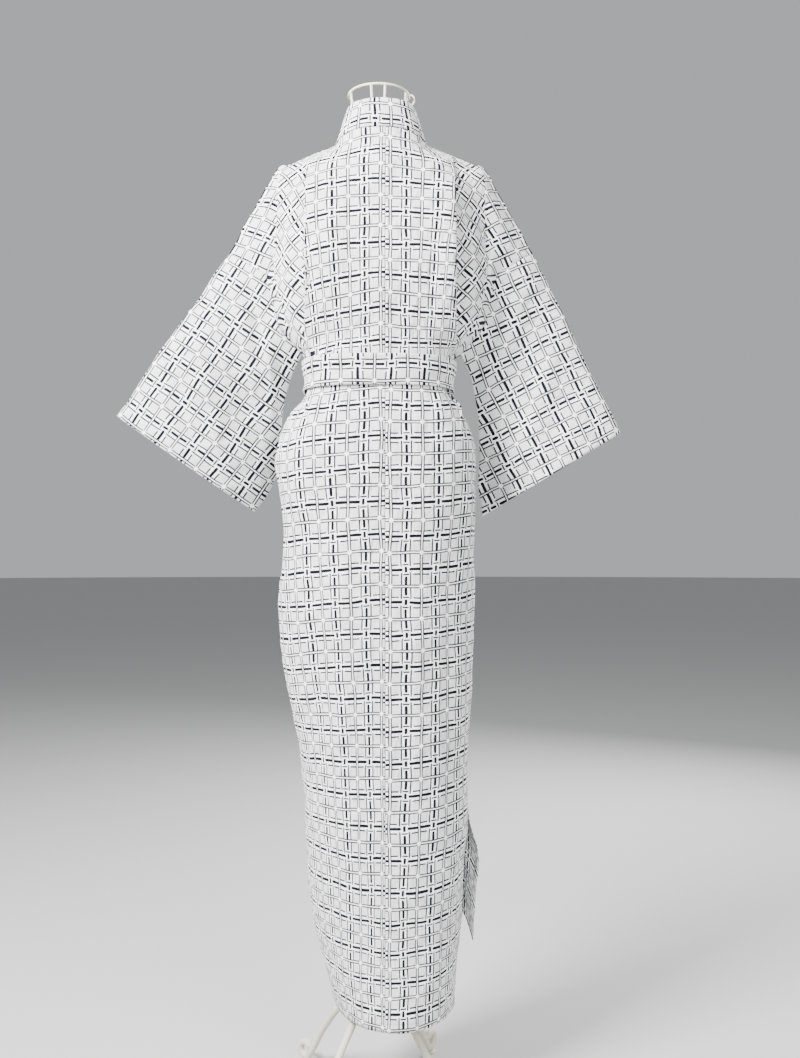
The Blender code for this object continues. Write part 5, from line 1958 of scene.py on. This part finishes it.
class YUKATA_OT_stand(bpy.types.Operator):
    """Stand the form on its post and its four scrolled legs"""

    bl_idname = "yukata.stand"
    bl_label = "Post and legs"

    def execute(self, context):
        build_groups()
        look = context.scene.yukata_stand
        legs_enamel = enamel_material("Leg enamel", look.leg_colour, look.rubbed_colour, 0.30, 0.85)
        four = range(1, 5)
        finish_metal(legs("Legs"), [f"leg_{k}" for k in four], legs_enamel)
        finish_metal(pads("Pads"), [f"pad_{k}" for k in four], legs_enamel)
        post = ["pole", "hub", *(f"spoke_{k}" for k in four)]
        finish_metal(centre_post("Post"), post, legs_enamel)
        return {"FINISHED"}


class YUKATA_OT_stage(bpy.types.Operator):
    """Lay the plain floor, set the soft lights and the camera"""

    bl_idname = "yukata.stage"
    bl_label = "Stage"

    def execute(self, context):
        scene = context.scene
        mesh = bpy.data.meshes.new("Floor")
        turns = [2 * math.pi * k / FLOOR_SIDES for k in range(FLOOR_SIDES)]
        rim = [(FLOOR_RADIUS * math.cos(t), FLOOR_RADIUS * math.sin(t), 0) for t in turns]
        mesh.from_pydata(rim, [], [tuple(range(FLOOR_SIDES))])
        floor = bpy.data.objects.new("Floor", mesh)
        scene.collection.objects.link(floor)
        made, _, shader = shader_of("Pale floor")
        shader.inputs["Base Color"].default_value = (*FLOOR_COLOUR, 1)
        shader.inputs["Roughness"].default_value = 0.9
        mesh.materials.append(made)
        world = bpy.data.worlds.new("Pale room")
        world.use_nodes = True
        background = world.node_tree.nodes["Background"]
        background.inputs[0].default_value = (*ROOM_COLOUR, 1)
        background.inputs[1].default_value = ROOM_STRENGTH
        scene.world = world
        for name, place, aim, size, power in LIGHTS:
            data = bpy.data.lights.new(name, "AREA")
            data.shape = "RECTANGLE"
            data.size, data.size_y = size
            data.energy = power
            lamp = bpy.data.objects.new(name, data)
            scene.collection.objects.link(lamp)
            lamp.location = place
            direction = mathutils.Vector(aim) - mathutils.Vector(place)
            lamp.rotation_euler = direction.to_track_quat("-Z", "Y").to_euler()
        data = bpy.data.cameras.new("Camera")
        data.sensor_width = 36.0
        data.lens = CAMERA_LENS
        data.shift_y = CAMERA_SHIFT_Y
        camera = bpy.data.objects.new("Camera", data)
        scene.collection.objects.link(camera)
        camera.location = mathutils.Vector(CAMERA_PLACE) + mathutils.Vector(SHIFT)
        camera.rotation_euler = (math.radians(90), 0.0, math.radians(180))
        scene.camera = camera
        return {"FINISHED"}


class YUKATA_PT_panel(bpy.types.Panel):
    """The robe's and the stand's settings, and the steps that build them"""

    bl_label = "Cotton yukata"
    bl_idname = "YUKATA_PT_panel"
    bl_space_type = "VIEW_3D"
    bl_region_type = "UI"
    bl_category = "Yukata"

    def draw(self, context):
        layout = self.layout
        for settings in (context.scene.yukata, context.scene.yukata_stand):
            column = layout.column()
            for key in settings.__annotations__:
                column.prop(settings, key)
        for operator in OPERATORS:
            layout.operator(operator.bl_idname)


OPERATORS = (
    YUKATA_OT_body,
    YUKATA_OT_okumi,
    YUKATA_OT_sleeves,
    YUKATA_OT_collar,
    YUKATA_OT_belt,
    YUKATA_OT_form,
    YUKATA_OT_stand,
    YUKATA_OT_stage,
)
CLASSES = (YukataSettings, StandSettings, *OPERATORS, YUKATA_PT_panel)


def register():
    for each in CLASSES:
        bpy.utils.register_class(each)
    bpy.types.Scene.yukata = bpy.props.PointerProperty(type=YukataSettings)
    bpy.types.Scene.yukata_stand = bpy.props.PointerProperty(type=StandSettings)


def unregister():
    del bpy.types.Scene.yukata_stand
    del bpy.types.Scene.yukata
    for each in reversed(CLASSES):
        bpy.utils.unregister_class(each)


def main():
    register()
    bpy.ops.yukata.body()
    bpy.ops.yukata.okumi()
    bpy.ops.yukata.sleeves()
    bpy.ops.yukata.collar()
    bpy.ops.yukata.belt()
    bpy.ops.yukata.form()
    bpy.ops.yukata.stand()
    bpy.ops.yukata.stage()


if __name__ == "__main__":
    main()
